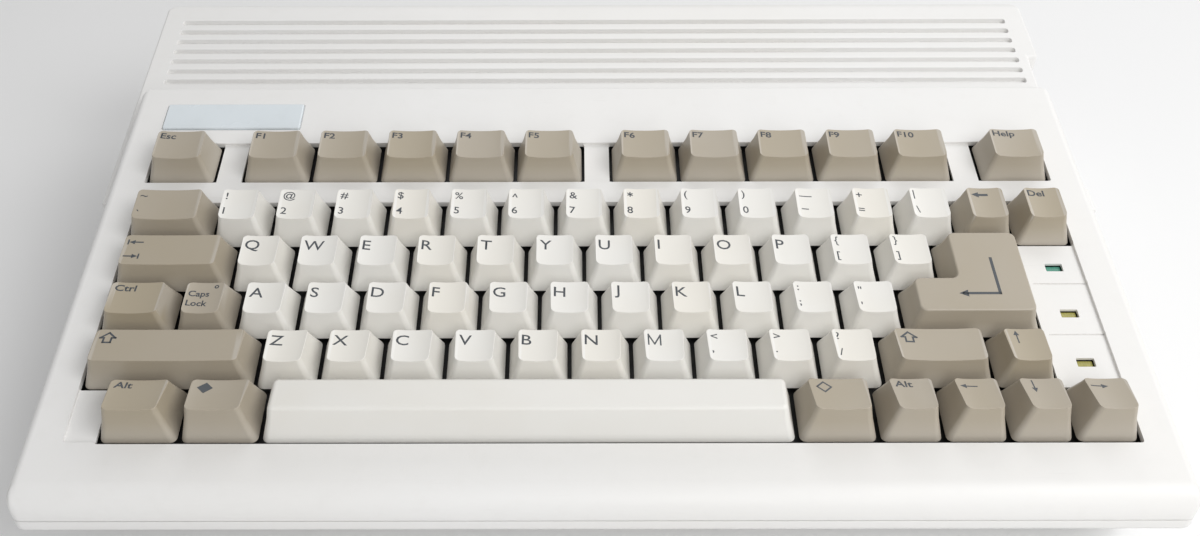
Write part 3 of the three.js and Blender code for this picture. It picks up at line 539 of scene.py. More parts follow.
RETURN_HEIGHT = 9.1
RETURN_LEFT, RETURN_SHOULDER, RETURN_RIGHT = 13.25, 14, 15.5


def key_x(units):
    return (units - ROW_LENGTH / 2) * PITCH


def add_sheet(name, left, right, front, back, height, radius):
    """A flat sheet with round corners."""
    sheet = add_plane(name, left, right, front, back, height)
    round_corners(sheet, radius, CORNER_STEPS)
    return sheet


def bridged(name, bottom, top, scoop):
    """Joins two sheets into one body with slightly scooped sides."""
    body = join(name, [bottom, top])
    choose(body, "edges")
    bpy.ops.mesh.delete(type="ONLY_FACE")
    bpy.ops.mesh.select_all(action="SELECT")
    bpy.ops.mesh.bridge_edge_loops(
        type="SINGLE",
        number_cuts=1,
        interpolation="LINEAR",
        profile_shape_factor=-scoop,
        profile_shape="SMOOTH",
    )
    bpy.ops.mesh.select_all(action="SELECT")
    bpy.ops.mesh.fill_holes(sides=0)
    bpy.ops.mesh.select_all(action="SELECT")
    bpy.ops.mesh.normals_make_consistent(inside=False)
    done()
    return body


def dish_tool(left, right, front, back, front_height, back_height, depth):
    """The rounded tool that hollows the top of a cap from side to side."""
    overrun, reach, lift = 1.25, 60, 14
    rise = depth / 0.4
    middle = (front_height + back_height) / 2
    only()
    lying = (math.pi / 2, 0, 0)
    bpy.ops.mesh.primitive_cylinder_add(vertices=64, radius=1, depth=1, rotation=lying)
    tool = settle(named("dish_tool"))
    tool.scale = ((right - left) / 2 * overrun * MM, reach * MM, rise * MM)
    settle(tool)
    move(tool, lambda vertex: at(vertex).z > 0.001, (0, 0, lift))
    centre = ((left + right) / 2, (front + back) / 2, middle - depth + rise)
    tool.location = Vector(centre) * MM
    tool.rotation_euler.x = math.atan2(back_height - front_height, back - front)
    return settle(tool)


def hollow(cap):
    """Opens the underside of a cap."""
    choose(cap, "faces", lambda face: face.normal.z < -0.9 and at(face.verts[0]).z < 0.1)
    bpy.ops.mesh.inset(thickness=CAP_WALL * MM)
    bpy.ops.mesh.extrude_region_move(TRANSFORM_OT_translate={"value": (0, 0, CAP_HOLLOW * MM)})
    bpy.ops.transform.resize(value=(HOLLOW_TAPER, HOLLOW_TAPER, 1))
    done()


def sharp_above(height):
    """A test for the sharp edges of the top of a cap."""
    limit = math.radians(40)

    def test(edge):
        return (
            len(edge.link_faces) == 2
            and min(point.z for point in ends(edge)) > height
            and edge.calc_face_angle() > limit
        )

    return test


def make_cap(name, row, start, width, dish=None, rim=0.5):
    """One key cap on the flat key plane."""
    middle, front_height, back_height = row
    end = start + width
    front, back = middle - PITCH / 2, middle + PITCH / 2
    if dish is None:
        dish = DISH if width < 2 else WIDE_DISH
    skirt = (
        key_x(start) + SKIRT_SIDE,
        key_x(end) - SKIRT_SIDE,
        front + SKIRT_FRONT,
        back - SKIRT_FRONT,
    )
    top = (key_x(start) + TOP_SIDE, key_x(end) - TOP_SIDE, front + TOP_FRONT, back - TOP_BACK)
    # The sides go on up past the top, which is then cut from them
    height = max(front_height, back_height) + CAP_EXCESS
    mean = (front_height + back_height) / 2
    reach = [
        (height - SKIRT_LOW) / (part - SKIRT_LOW)
        for part in (mean, mean, front_height, back_height)
    ]
    past = [low + (high - low) * share for low, high, share in zip(skirt, top, reach)]
    cap = bridged(
        name,
        add_sheet("skirt", *skirt, SKIRT_LOW, SKIRT_CORNER),
        add_sheet("top", *past, height, TOP_CORNER),
        SCOOP / max(1, width),
    )
    if dish:
        clean(cut(cap, dish_tool(*top, front_height, back_height, dish)))
    else:
        slope = Vector((0, top[3] - top[2], back_height - front_height)).normalized()
        choose(cap, "verts")
        bpy.ops.mesh.bisect(
            plane_co=Vector((0, top[2], front_height)) * MM,
            plane_no=(0, -slope.z, slope.y),
            clear_outer=True,
            use_fill=True,
        )
        done()
    round_edges(cap, sharp_above(mean * 0.6), rim, 3)
    hollow(cap)
    return cap


def return_sheet(name, inset_side, inset_front, inset_back, height, radius):
    """The L of the return key, drawn in by these distances."""
    left, shoulder = key_x(RETURN_LEFT) + inset_side, key_x(RETURN_SHOULDER) + inset_side
    right = key_x(RETURN_RIGHT) - inset_side
    front = HOME_ROW[0] - PITCH / 2 + inset_front
    step = HOME_ROW[0] + PITCH / 2 - inset_back
    back = UPPER_ROW[0] + PITCH / 2 - inset_back
    piece = add_plane(name, left, right, front, step, height)
    slice_at(piece, (shoulder, 0, 0), (1, 0, 0))
    choose(piece, "edges", both(lambda place: near(place.y, step) and place.x > shoulder - 0.1))
    bpy.ops.mesh.extrude_edges_move(TRANSFORM_OT_translate={"value": (0, (back - step) * MM, 0)})
    bpy.ops.mesh.select_mode(type="FACE")
    bpy.ops.mesh.select_all(action="SELECT")
    bpy.ops.mesh.normals_make_consistent(inside=False)
    bpy.ops.mesh.dissolve_faces()
    bpy.ops.mesh.dissolve_limited(angle_limit=math.radians(1))
    round_corners(piece, radius, CORNER_STEPS)
    return piece


def make_return():
    cap = bridged(
        "key_return_cap",
        return_sheet("skirt", SKIRT_SIDE, SKIRT_FRONT, SKIRT_FRONT, SKIRT_LOW, 1.8),
        return_sheet("top", TOP_SIDE, TOP_FRONT, TOP_BACK, RETURN_HEIGHT, 2.2),
        0.03,
    )
    round_edges(cap, sharp_above(RETURN_HEIGHT * 0.6), 0.55, 3)
    hollow(cap)
    return cap


# -------- key legends

PRINT_HEIGHT = 30  # prints are drawn flat, this far above the caps
PRINT_STEP = 0.7
THIN, FINE = 0.03, 0.07


def lay_on(legend, cap):
    """Lays a flat print on the top of a cap, as a film with a thickness of its own."""
    xs = [at(vertex).x for vertex in legend.data.vertices]
    low, high = min(xs), max(xs)
    choose(legend, "verts")
    steps = max(1, round((high - low) / PRINT_STEP))
    for step in range(1, steps):
        x = low + (high - low) * step / steps
        bpy.ops.mesh.select_all(action="SELECT")
        bpy.ops.mesh.bisect(plane_co=(x * MM, 0, 0), plane_no=(1, 0, 0))
    done()
    apply_modifier(
        legend,
        "SHRINKWRAP",
        wrap_method="PROJECT",
        use_project_z=True,
        use_negative_direction=True,
        use_positive_direction=False,
        target=cap,
        offset=0.03 * MM,
    )
    apply_modifier(legend, "SOLIDIFY", thickness=0.06 * MM, offset=-1)
    return paint(legend, print_ink)


def print_text(text, x, y, size, bold=0.0, wide=1.0):
    """Flat lettering with its left edge at x and its middle at y; size is the capital height."""
    only()
    bpy.ops.object.text_add(location=Vector((x, y, PRINT_HEIGHT)) * MM)
    letters = bpy.context.active_object
    letters.data.body = text
    letters.data.size = size * MM / 0.7
    letters.data.offset = bold * MM
    letters.data.resolution_u = 3
    only(letters)
    bpy.ops.object.convert(target="MESH")
    letters = named("print")
    letters.scale.x = wide
    settle(letters)
    ys = [at(vertex).y for vertex in letters.data.vertices]
    xs = [at(vertex).x for vertex in letters.data.vertices]
    letters.location = Vector((x - min(xs), y - (min(ys) + max(ys)) / 2, 0)) * MM
    settle(letters)
    if letters.data.polygons[0].normal.z < 0:
        choose(letters, "faces")
        bpy.ops.mesh.flip_normals()
        done()
    return letters


def print_bar(x0, y0, x1, y1, thick):
    """A straight printed line."""
    start, end = Vector((x0, y0, 0)), Vector((x1, y1, 0))
    along = end - start
    only()
    bpy.ops.mesh.primitive_plane_add(size=1)
    bar = named("print")
    bar.scale = (along.length * MM, thick * MM, 1)
    bar.rotation_euler.z = math.atan2(along.y, along.x)
    bar.location = ((start + end) / 2 + Vector((0, 0, PRINT_HEIGHT))) * MM
    return settle(bar)


def print_circle(x, y, radius, sides):
    only()
    bpy.ops.mesh.primitive_circle_add(
        vertices=sides,
        radius=radius * MM,
        fill_type="NGON",
        location=Vector((x, y, PRINT_HEIGHT)) * MM,
    )
    return settle(named("print"))


def print_head(x, y, turn, length, width):
    """A printed arrow head whose point is at x and y."""
    only()
    bpy.ops.mesh.primitive_circle_add(vertices=3, radius=1, fill_type="NGON")
    head = settle(named("print"))
    high = max(vertex.co.y for vertex in head.data.vertices)
    move(head, every, (0, -high / MM, 0))
    low = min(vertex.co.y for vertex in head.data.vertices)
    wide = max(vertex.co.x for vertex in head.data.vertices)
    head.scale = (width / 2 / wide * MM, length / -low * MM, 1)
    head.rotation_euler.z = turn - math.pi / 2
    head.location = Vector((x, y, PRINT_HEIGHT)) * MM
    return settle(head)


def print_arrow(x, y, length, turn, thick=0.45, head=1.7):
    """A printed arrow centred on x and y that points along turn."""
    ahead = Vector((math.cos(turn), math.sin(turn), 0)) * length / 2
    centre = Vector((x, y, 0))
    tip, tail = centre + ahead, centre - ahead
    neck = tip - ahead.normalized() * head * 0.8
    return [
        print_bar(tail.x, tail.y, neck.x, neck.y, thick),
        print_head(tip.x, tip.y, turn, head, head * 0.95),
    ]


def print_lines(points, thick):
    """A printed path of straight lines with square ends."""
    bars = []
    for (x0, y0), (x1, y1) in zip(points, points[1:]):
        along = Vector((x1 - x0, y1 - y0)).normalized() * thick / 2
        bars.append(print_bar(x0 - along.x, y0 - along.y, x1 + along.x, y1 + along.y, thick))
    return bars


def print_ring(x, y, radius, inner):
    ring = print_circle(x, y, radius, 16)
    choose(ring, "faces")
    bpy.ops.mesh.inset(thickness=(radius - inner) * MM)
    bpy.ops.mesh.delete(type="FACE")
    done()
    return ring


def top_of(row, start):
    """The left and back edges of a cap's top, from which prints are placed."""
    return key_x(start) + TOP_SIDE, row[0] + PITCH / 2 - TOP_BACK


def tone_of(name, index):
    """A steady tone for a cap, from 0 for fresh to 1 for aged."""
    seed = sum(ord(sign) * (place + 1) for place, sign in enumerate(name)) * 0.37 + index * 7.82
    return (math.sin(seed) * 0.5 + 0.5) ** 3


def give_tone(piece, value):
    tone = piece.data.attributes.new("tone", "FLOAT", "POINT")
    tone.data.foreach_set("value", [value] * len(piece.data.vertices))


def finish_key(name, node, caps, prints, plastic):
    """Joins caps and prints into one piece that stands for its node."""
    for index, cap in enumerate(caps):
        give_tone(paint(cap, plastic), tone_of(name, index))
        smooth(cap, 38)
    for film in prints:
        give_tone(film, 0.0)
    stand_for(tilt(join(name, [*caps, *prints])), node, node)


def single_key(node, row, start, width, marks):
    """marks gives the flat prints of a key, from the left and back edges of its top."""
    cap = make_cap(node + "_cap", row, start, width)
    prints = [lay_on(mark, cap) for mark in marks(*top_of(row, start))]
    finish_key(node + "_key", node, [cap], prints, tan_plastic)


def key_row(node, row, start, marks):
    """A row of equal caps in one piece, with the prints of each."""
    model = make_cap(node + "_model", row, start, 1)
    caps = copies(model, [(index * PITCH, 0, 0) for index in range(len(marks))])
    prints = [
        lay_on(film, cap)
        for index, (cap, mark) in enumerate(zip(caps, marks))
        for film in mark(*top_of(row, start + index))
    ]
    finish_key(node + "_caps", node, caps, prints, pale_plastic)


def words(text):
    return lambda x, y: [print_text(text, x + 1.2, y - 2.4, 2.5, FINE, 1.16)]


def front_sign(text, x, y):
    return print_text(text, x + 1.2, y - 9.6, 2.9, THIN)


def pair(over, under):
    """Two signs, one at the back and one at the front of a cap."""
    return lambda x, y: [
        print_text(over, x + 1.2, y - 3.0, 2.9, THIN),
        front_sign(under, x, y),
    ]


def letter(sign):
    return lambda x, y: [print_text(sign, x + 1.1, y - 4.4, 4.1, THIN, 1.04)]


def letter_m(x, y):
    """The letter M from straight strokes."""
    left, right, low, high = x + 1.35, x + 5.0, y - 6.45, y - 2.35
    middle = (left + right) / 2
    path = [(left, low), (left, high), (middle, low + 0.3), (right, high), (right, low)]
    return print_lines(path, 0.46)


def star_pair(x, y):
    """A star of three strokes over the digit eight."""
    x0, y0, reach = x + 2.3, y - 2.6, 1.05
    star = []
    for turn in (90, 30, -30):
        dx, dy = reach * math.cos(math.radians(turn)), reach * math.sin(math.radians(turn))
        star.append(print_bar(x0 - dx, y0 - dy, x0 + dx, y0 + dy, 0.4))
    return [*star, front_sign("8", x, y)]


def dashes(x, y):
    return [
        print_bar(x + 1.3, y - 3.6, x + 5.5, y - 3.6, 0.36),
        print_bar(x + 1.5, y - 9.3, x + 3.9, y - 9.3, 0.4),
    ]


def shift_mark(x, y):
    """A hollow arrow that points to the back."""
    x, y = x + 4.1, y - 1.5
    half = [(0, 0), (2.3, -2.1), (1.15, -2.1), (1.15, -4.0)]
    outline = half + [(-dx, dy) for dx, dy in reversed(half)]
    return print_lines([(x + dx, y + dy) for dx, dy in outline], 0.6)


def tab_marks(x, y):
    return [
        *print_arrow(x + 3.9, y - 3.2, 4.6, math.pi, 0.5, 1.9),
        print_bar(x + 1.35, y - 2.1, x + 1.35, y - 4.3, 0.5),
        *print_arrow(x + 3.3, y - 9.4, 4.6, 0, 0.5, 1.9),
        print_bar(x + 5.85, y - 8.3, x + 5.85, y - 10.5, 0.5),
    ]


def caps_marks(x, y):
    return [
        print_text("Caps", x + 1.0, y - 5.2, 2.3, 0.06),
        print_text("Lock", x + 1.0, y - 8.9, 2.3, 0.06),
        print_ring(x + 9.2, y - 1.9, 0.75, 0.35),
    ]


def diamond_mark(x, y):
    """A plain filled diamond."""
    return [print_circle(x + 4.2, y - 3.6, 2.3, 4)]


def open_diamond_mark(x, y):
    """A plain diamond in outline."""
    x, y, half = x + 4.2, y - 3.6, 2.1
    corners = [(0, half), (half, 0), (0, -half), (-half, 0), (0, half)]
    return print_lines([(x + dx, y + dy) for dx, dy in corners], 0.5)


def arrow_mark(turn):
    return lambda x, y: print_arrow(x + 3.6, y - 3.4, 5.2, turn, 0.42, 1.9)


def backspace_mark(x, y):
    return print_arrow(x + 4.2, y - 3.0, 5.6, math.pi, 0.95, 2.5)


def return_marks():
    x, y = key_x(RETURN_RIGHT) - TOP_SIDE - 10.0, UPPER_ROW[0] - 4.3
    low, left = y - 14.2, x - 12.8
    return [
        *print_lines([(x, y), (x, low), (left + 1.6, low)], 0.95),
        print_head(left, low, math.pi, 2.9, 2.7),
    ]


single_key("key_escape", FUNCTION_ROW, 0, 1.25, words("Esc"))
for number in range(10):
    group = 1.75 if number < 5 else 8.5
    start = group + number % 5 * 1.25
    single_key(f"key_f{number + 1}", FUNCTION_ROW, start, 1.25, words(f"F{number + 1}"))
single_key("key_help", FUNCTION_ROW, 15.25, 1.25, words("Help"))
single_key("key_grave", NUMBER_ROW, 0, 1.5, pair("~", "`"))
single_key("key_backspace", NUMBER_ROW, 14.5, 1, backspace_mark)
single_key("key_delete", NUMBER_ROW, 15.5, 1, words("Del"))
single_key("key_tab", UPPER_ROW, 0, 2, tab_marks)
single_key("key_control", HOME_ROW, 0, 1.25, words("Ctrl"))
single_key("key_caps_lock", HOME_ROW, 1.25, 1, caps_marks)
single_key("key_shift_left", LOWER_ROW, 0, 2.75, shift_mark)
single_key("key_shift_right", LOWER_ROW, 12.75, 1.75, shift_mark)
single_key("key_up", LOWER_ROW, 14.5, 1, arrow_mark(math.pi / 2))
single_key("key_alt_left", SPACE_ROW, 0.5, 1.25, words("Alt"))
single_key("key_special_left", SPACE_ROW, 1.75, 1.25, diamond_mark)
single_key("key_special_right", SPACE_ROW, 11.25, 1.25, open_diamond_mark)
single_key("key_alt_right", SPACE_ROW, 12.5, 1, words("Alt"))
single_key("key_left", SPACE_ROW, 13.5, 1, arrow_mark(math.pi))
single_key("key_down", SPACE_ROW, 14.5, 1, arrow_mark(-math.pi / 2))
single_key("key_right", SPACE_ROW, 15.5, 1, arrow_mark(0))

space_cap = make_cap("key_space_cap", SPACE_ROW, 3, 8.25, dish=0, rim=1.3)
finish_key("key_space_key", "key_space", [space_cap], [], pale_plastic)

return_cap = make_return()
return_prints = [lay_on(mark, return_cap) for mark in return_marks()]
finish_key(
    "key_return_key", "key_return", [return_cap], return_prints, tan_plastic
)

digit_marks = [pair(*signs) for signs in ("!1", "@2", "#3", "$4", "%5", "^6", "&7")]
digit_marks += [star_pair, pair("(", "9"), pair(")", "0"), dashes, pair("+", "="), pair("|", "\\")]
key_row("keys_number_row", NUMBER_ROW, 1.5, digit_marks)
upper_marks = [letter(sign) for sign in "QWERTYUIOP"] + [pair("{", "["), pair("}", "]")]
key_row("keys_upper_row", UPPER_ROW, 2, upper_marks)
home_marks = [letter(sign) for sign in "ASDFGHJKL"] + [pair(":", ";"), pair('"', "'")]
key_row("keys_home_row", HOME_ROW, 2.25, home_marks)
lower_marks = [letter(sign) for sign in "ZXCVBN"]
lower_marks += [letter_m, pair("<", ","), pair(">", "."), pair("?", "/")]
key_row("keys_lower_row", LOWER_ROW, 2.75, lower_marks)

# -------- case

FRONT, REAR = -119.998, 119.998
DECK_HALF, CASE_HALF = 169.5, 175.0
WALL = 2.5
BASE, LIP, INSIDE_LIP, RIM, SEAM = 4.0, 31.0, 31.4, 34.7, 35.0
BEVEL_RUN, INSIDE_RUN = 25.0, 23.55
DECK_LEVEL, TIER_LEVEL, FIELD_LEVEL = 0.5, -8.5, -0.55
DECK_REAR = 52.474
LEDGE_FRONT, PILLAR_FRONT = 3.47, -0.53
BAY_FRONT, BAY_REAR, BAY_FACE = 10.47, 81.47, 171.0
REAR_BAY_HALF, REAR_BAY_FACE = 153.0, 112.998
LAMP_X = key_x(ROW_LENGTH) - 8.3
LAMP_WINDOW, LENS = (2.8, 1.6), (2.55, 1.35)  # half the width and half the depth
BADGE_LEFT, BADGE_RIGHT, BADGE_FRONT, BADGE_BACK, BADGE_GAP = -157.1, -107.4, 46.3, 59.1, 0.4
VENT_START, VENT_PITCH, VENT_COUNT = 82.6, 6.0, 7
VENT_HALF, VENT_DEPTH, VENT_MARGIN = 1.35, 1.9, 8.2
OVER, FAR = 100, 200  # clear of the top and of the sides, for cutters

# How far openings reach past the pitch of their keys: at the sides, the front and the back
OPENING_MARGIN = (0.4, 0.2, 0.3)
FRONT_OPENING_MARGIN = (0.4, 0.7, 0.3)
FIELD_MARGIN = (0.3, 0.1, 0.2)
UNDERSIDE_MARGIN = (1.5, 1.5, 1.5)


def slope_height(height, y):
    """The height, at a place along the case, of a plane that lies parallel to the key plane."""
    start_y = KEY_PLANE_Y - height * math.sin(KEY_TILT)
    start_z = KEY_PLANE_Z + height * math.cos(KEY_TILT)
    return start_z + (y - start_y) * math.tan(KEY_TILT)


def add_wedge(name, left, right, front, back, bottom, height):
    """A block whose top lies parallel to the key plane."""
    piece = add_block(name, (left, front, bottom), (right, back, OVER))
    for y in (front, back):
        drop = slope_height(height, y) - OVER
        move(piece, lambda vertex: at(vertex).z > OVER - 1 and near(at(vertex).y, y), (0, 0, drop))
    return piece


def round_together(piece, segments, *groups):
    """Rounds edges by different radii in one go. Each group is a radius and a test of edges."""
    largest = max(radius for radius, _ in groups)
    taken = set()
    for radius, test in groups:

        def fresh(edge):
            wanted = edge.index not in taken and test(edge)
            if wanted:
                taken.add(edge.index)
            return wanted

        if choose(piece, "edges", fresh):
            bpy.ops.transform.edge_bevelweight(value=radius / largest)
        done()
    apply_modifier(
        piece,
        "BEVEL",
        width=largest * MM,
        segments=segments,
        limit_method="WEIGHT",
        use_clamp_overlap=False,
    )
    weights = piece.data.attributes.get("bevel_weight_edge")
    if weights:
        piece.data.attributes.remove(weights)
    return piece


def tidy_faces(piece):
    choose(piece, "faces")
    bpy.ops.mesh.dissolve_limited(angle_limit=math.radians(0.3))
    done()
    return piece


def field_block(rows, start, end, low=-6, margins=OPENING_MARGIN, high=4):
    """A cutter on the key plane, over the keys from start to end in rows from front to back."""
    first, last = rows
    side, front, back = margins
    return add_block(
        "cutter",
        (key_x(start) - side, first[0] - PITCH / 2 - front, low),
        (key_x(end) + side, last[0] + PITCH / 2 + back, high),
    )


def lamp_block(name, y, half, low, high):
    """A block at the place of a lamp, on the key plane."""
    side, depth = half
    return add_block(name, (LAMP_X - side, y - depth, low), (LAMP_X + side, y + depth, high))


def rim_at(height):
    """A test for the outside edges that lie at a level above the key plane."""

    def test(edge):
        return turn_of(edge) > 50 and all(
            near(on_plane(vertex).z, height, 0.02) for vertex in edge.verts
        )

    return test


# The top shell: the deck and, behind it, the lower tier
top_shell = add_wedge("top_shell", -DECK_HALF, DECK_HALF, FRONT, DECK_REAR, SEAM, DECK_LEVEL)
round_together(
    top_shell,
    8,
    (7.3, level(y=FRONT, z=slope_height(DECK_LEVEL, FRONT))),
    (3.2, standing(lambda place: place.y < 0)),
    (4, standing(lambda place: place.y > 0)),
    (1.5, level(y=DECK_REAR, z=slope_height(DECK_LEVEL, DECK_REAR))),
    (3, both(lambda place: place.z > SEAM + 1)),
)
tier = add_wedge("tier", -CASE_HALF, CASE_HALF, PILLAR_FRONT, REAR, SEAM, TIER_LEVEL)
cut(
    tier,
    add_block("cutter", (-FAR, PILLAR_FRONT - 5, 0), (-DECK_HALF + 4, LEDGE_FRONT, OVER)),
    add_block("cutter", (BAY_FACE, BAY_FRONT, 0), (FAR, BAY_REAR, OVER)),
)
round_together(
    tier,
    8,
    (9.3, level(y=REAR, z=slope_height(TIER_LEVEL, REAR))),
    (8, standing(lambda place: near(place.y, REAR))),
    (1.2, standing(lambda place: abs(place.x) > DECK_HALF)),
    (1.2, both(lambda place: abs(place.x) > DECK_HALF and place.z > SEAM + 1, 30)),
)
add(top_shell, tier)


def inside_wedge(name, half, front, back, height):
    """The hollow of a part of the top shell."""
    return add_wedge(
        name, -half + WALL, half - WALL, front + WALL, back - WALL, SEAM - 5, height - WALL
    )


deck_inside = inside_wedge("deck_inside", DECK_HALF, FRONT, DECK_REAR, DECK_LEVEL)
round_edges(deck_inside, both(lambda place: place.y < 0 and place.z > SEAM), 3.6, 5)
tier_inside = inside_wedge("tier_inside", CASE_HALF, LEDGE_FRONT, REAR, TIER_LEVEL)
round_edges(tier_inside, both(lambda place: place.y > 0 and place.z > SEAM + 20), 6, 5)
cut(
    tier_inside,
    add_block("cutter", (DECK_HALF - WALL, 0, 0), (FAR, BAY_FRONT + WALL, OVER)),
    add_block("cutter", (BAY_FACE - WALL, 0, 0), (FAR, BAY_REAR + WALL, OVER)),
)
cut(top_shell, deck_inside, tier_inside)
add(
    top_shell,
    add_block(
        "bay_roof",
        (-REAR_BAY_HALF - WALL, REAR_BAY_FACE - WALL, SEAM),
        (REAR_BAY_HALF + WALL, REAR - WALL / 2, SEAM + WALL),
    ),
)

# The fields, the key openings, the lamp windows and the vents, all square to the key plane
ALL_ROWS = ((FUNCTION_ROW, FUNCTION_ROW), (SPACE_ROW, NUMBER_ROW))
key_fields = [
    round_uprights(field_block(rows, 0, ROW_LENGTH, FIELD_LEVEL, FIELD_MARGIN), 1.2)
    for rows in ALL_ROWS
]
function_openings = [
    round_uprights(field_block((FUNCTION_ROW, FUNCTION_ROW), start, end), 0.8)
    for start, end in ((0, 1.25), (1.75, 8), (8.5, 14.75), (15.25, ROW_LENGTH))
]
main_opening = field_block((NUMBER_ROW, NUMBER_ROW), 0, ROW_LENGTH)
add(
    main_opening,
    field_block((LOWER_ROW, UPPER_ROW), 0, 15.5),
    field_block((SPACE_ROW, SPACE_ROW), 0.5, ROW_LENGTH, margins=FRONT_OPENING_MARGIN),
)
round_uprights(tidy_faces(main_opening), 0.8)

lamp_rows = (UPPER_ROW[0], HOME_ROW[0], LOWER_ROW[0])
lamp_windows = [
    round_uprights(lamp_block("cutter", y, LAMP_WINDOW, -6, 4), 0.3) for y in lamp_rows
]
groove_left, groove_right = key_x(15.5) + 2.2, key_x(16.5) + 0.4
panel_grooves = [
    add_block("cutter", (groove_left, y - 0.3, FIELD_LEVEL - 0.45), (groove_right, y + 0.3, 4))
    for y in (-26, -46.5)
]
undersides = [
    field_block(rows, 0, ROW_LENGTH, margins=UNDERSIDE_MARGIN, high=-1.5) for rows in ALL_ROWS
]
vents = add_block(
    "vents",
    (-CASE_HALF + VENT_MARGIN, VENT_START - VENT_HALF, TIER_LEVEL - VENT_DEPTH),
    (CASE_HALF - VENT_MARGIN, VENT_START + VENT_HALF, TIER_LEVEL + 2),
)
round_uprights(vents, 0.9)
apply_modifier(
    vents,
    "ARRAY",
    count=VENT_COUNT,
    use_relative_offset=False,
    use_constant_offset=True,
    constant_offset_displace=(0, VENT_PITCH * MM, 0),
)
badge_seat = add_block(
    "cutter",
    (BADGE_LEFT - BADGE_GAP, BADGE_FRONT - BADGE_GAP, 0.05),
    (BADGE_RIGHT + BADGE_GAP, BADGE_BACK + BADGE_GAP, 4),
)
round_uprights(badge_seat, 0.8)
flat_cutters = [*key_fields, *function_openings, main_opening, *lamp_windows, *panel_grooves]
flat_cutters += [*undersides, vents, badge_seat]
clean(cut(top_shell, *[tilt(cutter) for cutter in flat_cutters]))

round_edges(top_shell, rim_at(DECK_LEVEL), 0.5, 3)
round_edges(top_shell, rim_at(FIELD_LEVEL), 0.28, 2)
round_edges(top_shell, rim_at(TIER_LEVEL), 0.3, 2)
round_edges(
    top_shell,
    both(lambda p: near(p.z, SEAM) and p.y < 4 and abs(p.x) < DECK_HALF + 0.1, 60),
    0.35,
    2,
)
stand_for(paint(smooth(top_shell, 30), case_plastic), "top_case", "case")

# The bottom shell, with its long bevel at the front
bottom_shell = add_block("bottom_shell", (-DECK_HALF, FRONT, BASE), (DECK_HALF, REAR, RIM))
slice_at(bottom_shell, (0, 0, LIP), (0, 0, 1))
move(
    bottom_shell,
    lambda vertex: near(at(vertex).z, BASE) and near(at(vertex).y, FRONT),
    (0, BEVEL_RUN, 0),
)
add(
    bottom_shell,
    add_block("ledge", (-CASE_HALF, LEDGE_FRONT, BASE), (-150, REAR, RIM)),
    add_block("port_bay", (150, BAY_FRONT, BASE), (BAY_FACE, REAR, RIM)),
    add_block("rear_corner", (150, BAY_REAR, BASE), (CASE_HALF, REAR, RIM)),
)
tidy_faces(bottom_shell)
round_together(
    bottom_shell,
    8,
    (8, standing(lambda place: near(place.y, REAR))),
    (3.2, standing(lambda place: near(place.y, FRONT))),
    (1.2, standing(lambda place: abs(place.x) > DECK_HALF + 1, 30)),
    (
        3,
        lambda edge: all(near(abs(place.x), DECK_HALF) for place in ends(edge))
        and min(abs(run(edge, "y")), abs(run(edge, "z"))) > 20,
    ),
    (1.5, level(30, z=BASE)),
    (1.2, level(z=LIP, y=FRONT)),
)

# Its hollow: the floor, the front bevel and the side walls all keep the same wall
FLOOR, INSIDE_TOP, INSIDE_REAR = BASE + WALL, 40, REAR_BAY_FACE - WALL
inside = add_block(
    "inside", (-DECK_HALF + WALL, FRONT + WALL, FLOOR), (DECK_HALF - WALL, INSIDE_REAR, INSIDE_TOP)
)
slice_at(inside, (0, 0, INSIDE_LIP), (0, 0, 1))
move(
    inside,
    lambda vertex: near(at(vertex).z, FLOOR) and near(at(vertex).y, FRONT + WALL),
    (0, INSIDE_RUN, 0),
)
INSIDE_PARTS = (
    (-CASE_HALF + WALL, -150, LEDGE_FRONT + WALL, INSIDE_REAR),
    (150, BAY_FACE - WALL, BAY_FRONT + WALL, INSIDE_REAR),
    (150, CASE_HALF - WALL, BAY_REAR + WALL, INSIDE_REAR),
    (-CASE_HALF + WALL, -REAR_BAY_HALF - WALL, 90, REAR - WALL),
    (REAR_BAY_HALF + WALL, CASE_HALF - WALL, 90, REAR - WALL),
)
add(
    inside,
    *[
        add_block("inside_part", (left, front, FLOOR), (right, back, INSIDE_TOP))
        for left, right, front, back in INSIDE_PARTS
    ],
)
rear_bay = add_block(
    "rear_bay", (-REAR_BAY_HALF, REAR_BAY_FACE, BASE + 5), (REAR_BAY_HALF, 130, INSIDE_TOP)
)
cut(bottom_shell, inside, rear_bay)

# Its bay collar, posts, rails and screw bosses
BOSSES = ((-157.5, -43.998), (-165, 99.998), (165, 99.998))
FEET = ((-153, -83.998), (153, -83.998), (-153, 99.998), (153, 99.998))
bay_left, bay_right, bay_front, bay_back = -140.0, -50.0, -87.998, -37.998
COLLAR_WALL, COLLAR_TOP = 1.6, 22.5
BOSS_RADIUS, SCREW_RADIUS, FOOT_RADIUS, FOOT_HEIGHT = 5.2, 3.0, 7, 4.7
collar = add_block(
    "collar",
    (bay_left - COLLAR_WALL, bay_front - COLLAR_WALL, BASE + 1),
    (bay_right + COLLAR_WALL, bay_back + COLLAR_WALL, COLLAR_TOP),
)
round_uprights(collar, 1.2)
round_edges(collar, level(z=COLLAR_TOP), 0.4, 2)
rails = [
    round_uprights(add_block("rail", (22.7, y, BASE + 1), (160.7, y + 6, 7)), 1)
    for y in (-88.03, -4.43)
]
boss_posts = [add_round("boss", (x, y, 19.9), BOSS_RADIUS, 29.6, 32) for x, y in BOSSES]
add(bottom_shell, collar, *rails, *boss_posts)
bay_hole = add_block("cutter", (bay_left, bay_front, 0), (bay_right, bay_back, INSIDE_TOP))
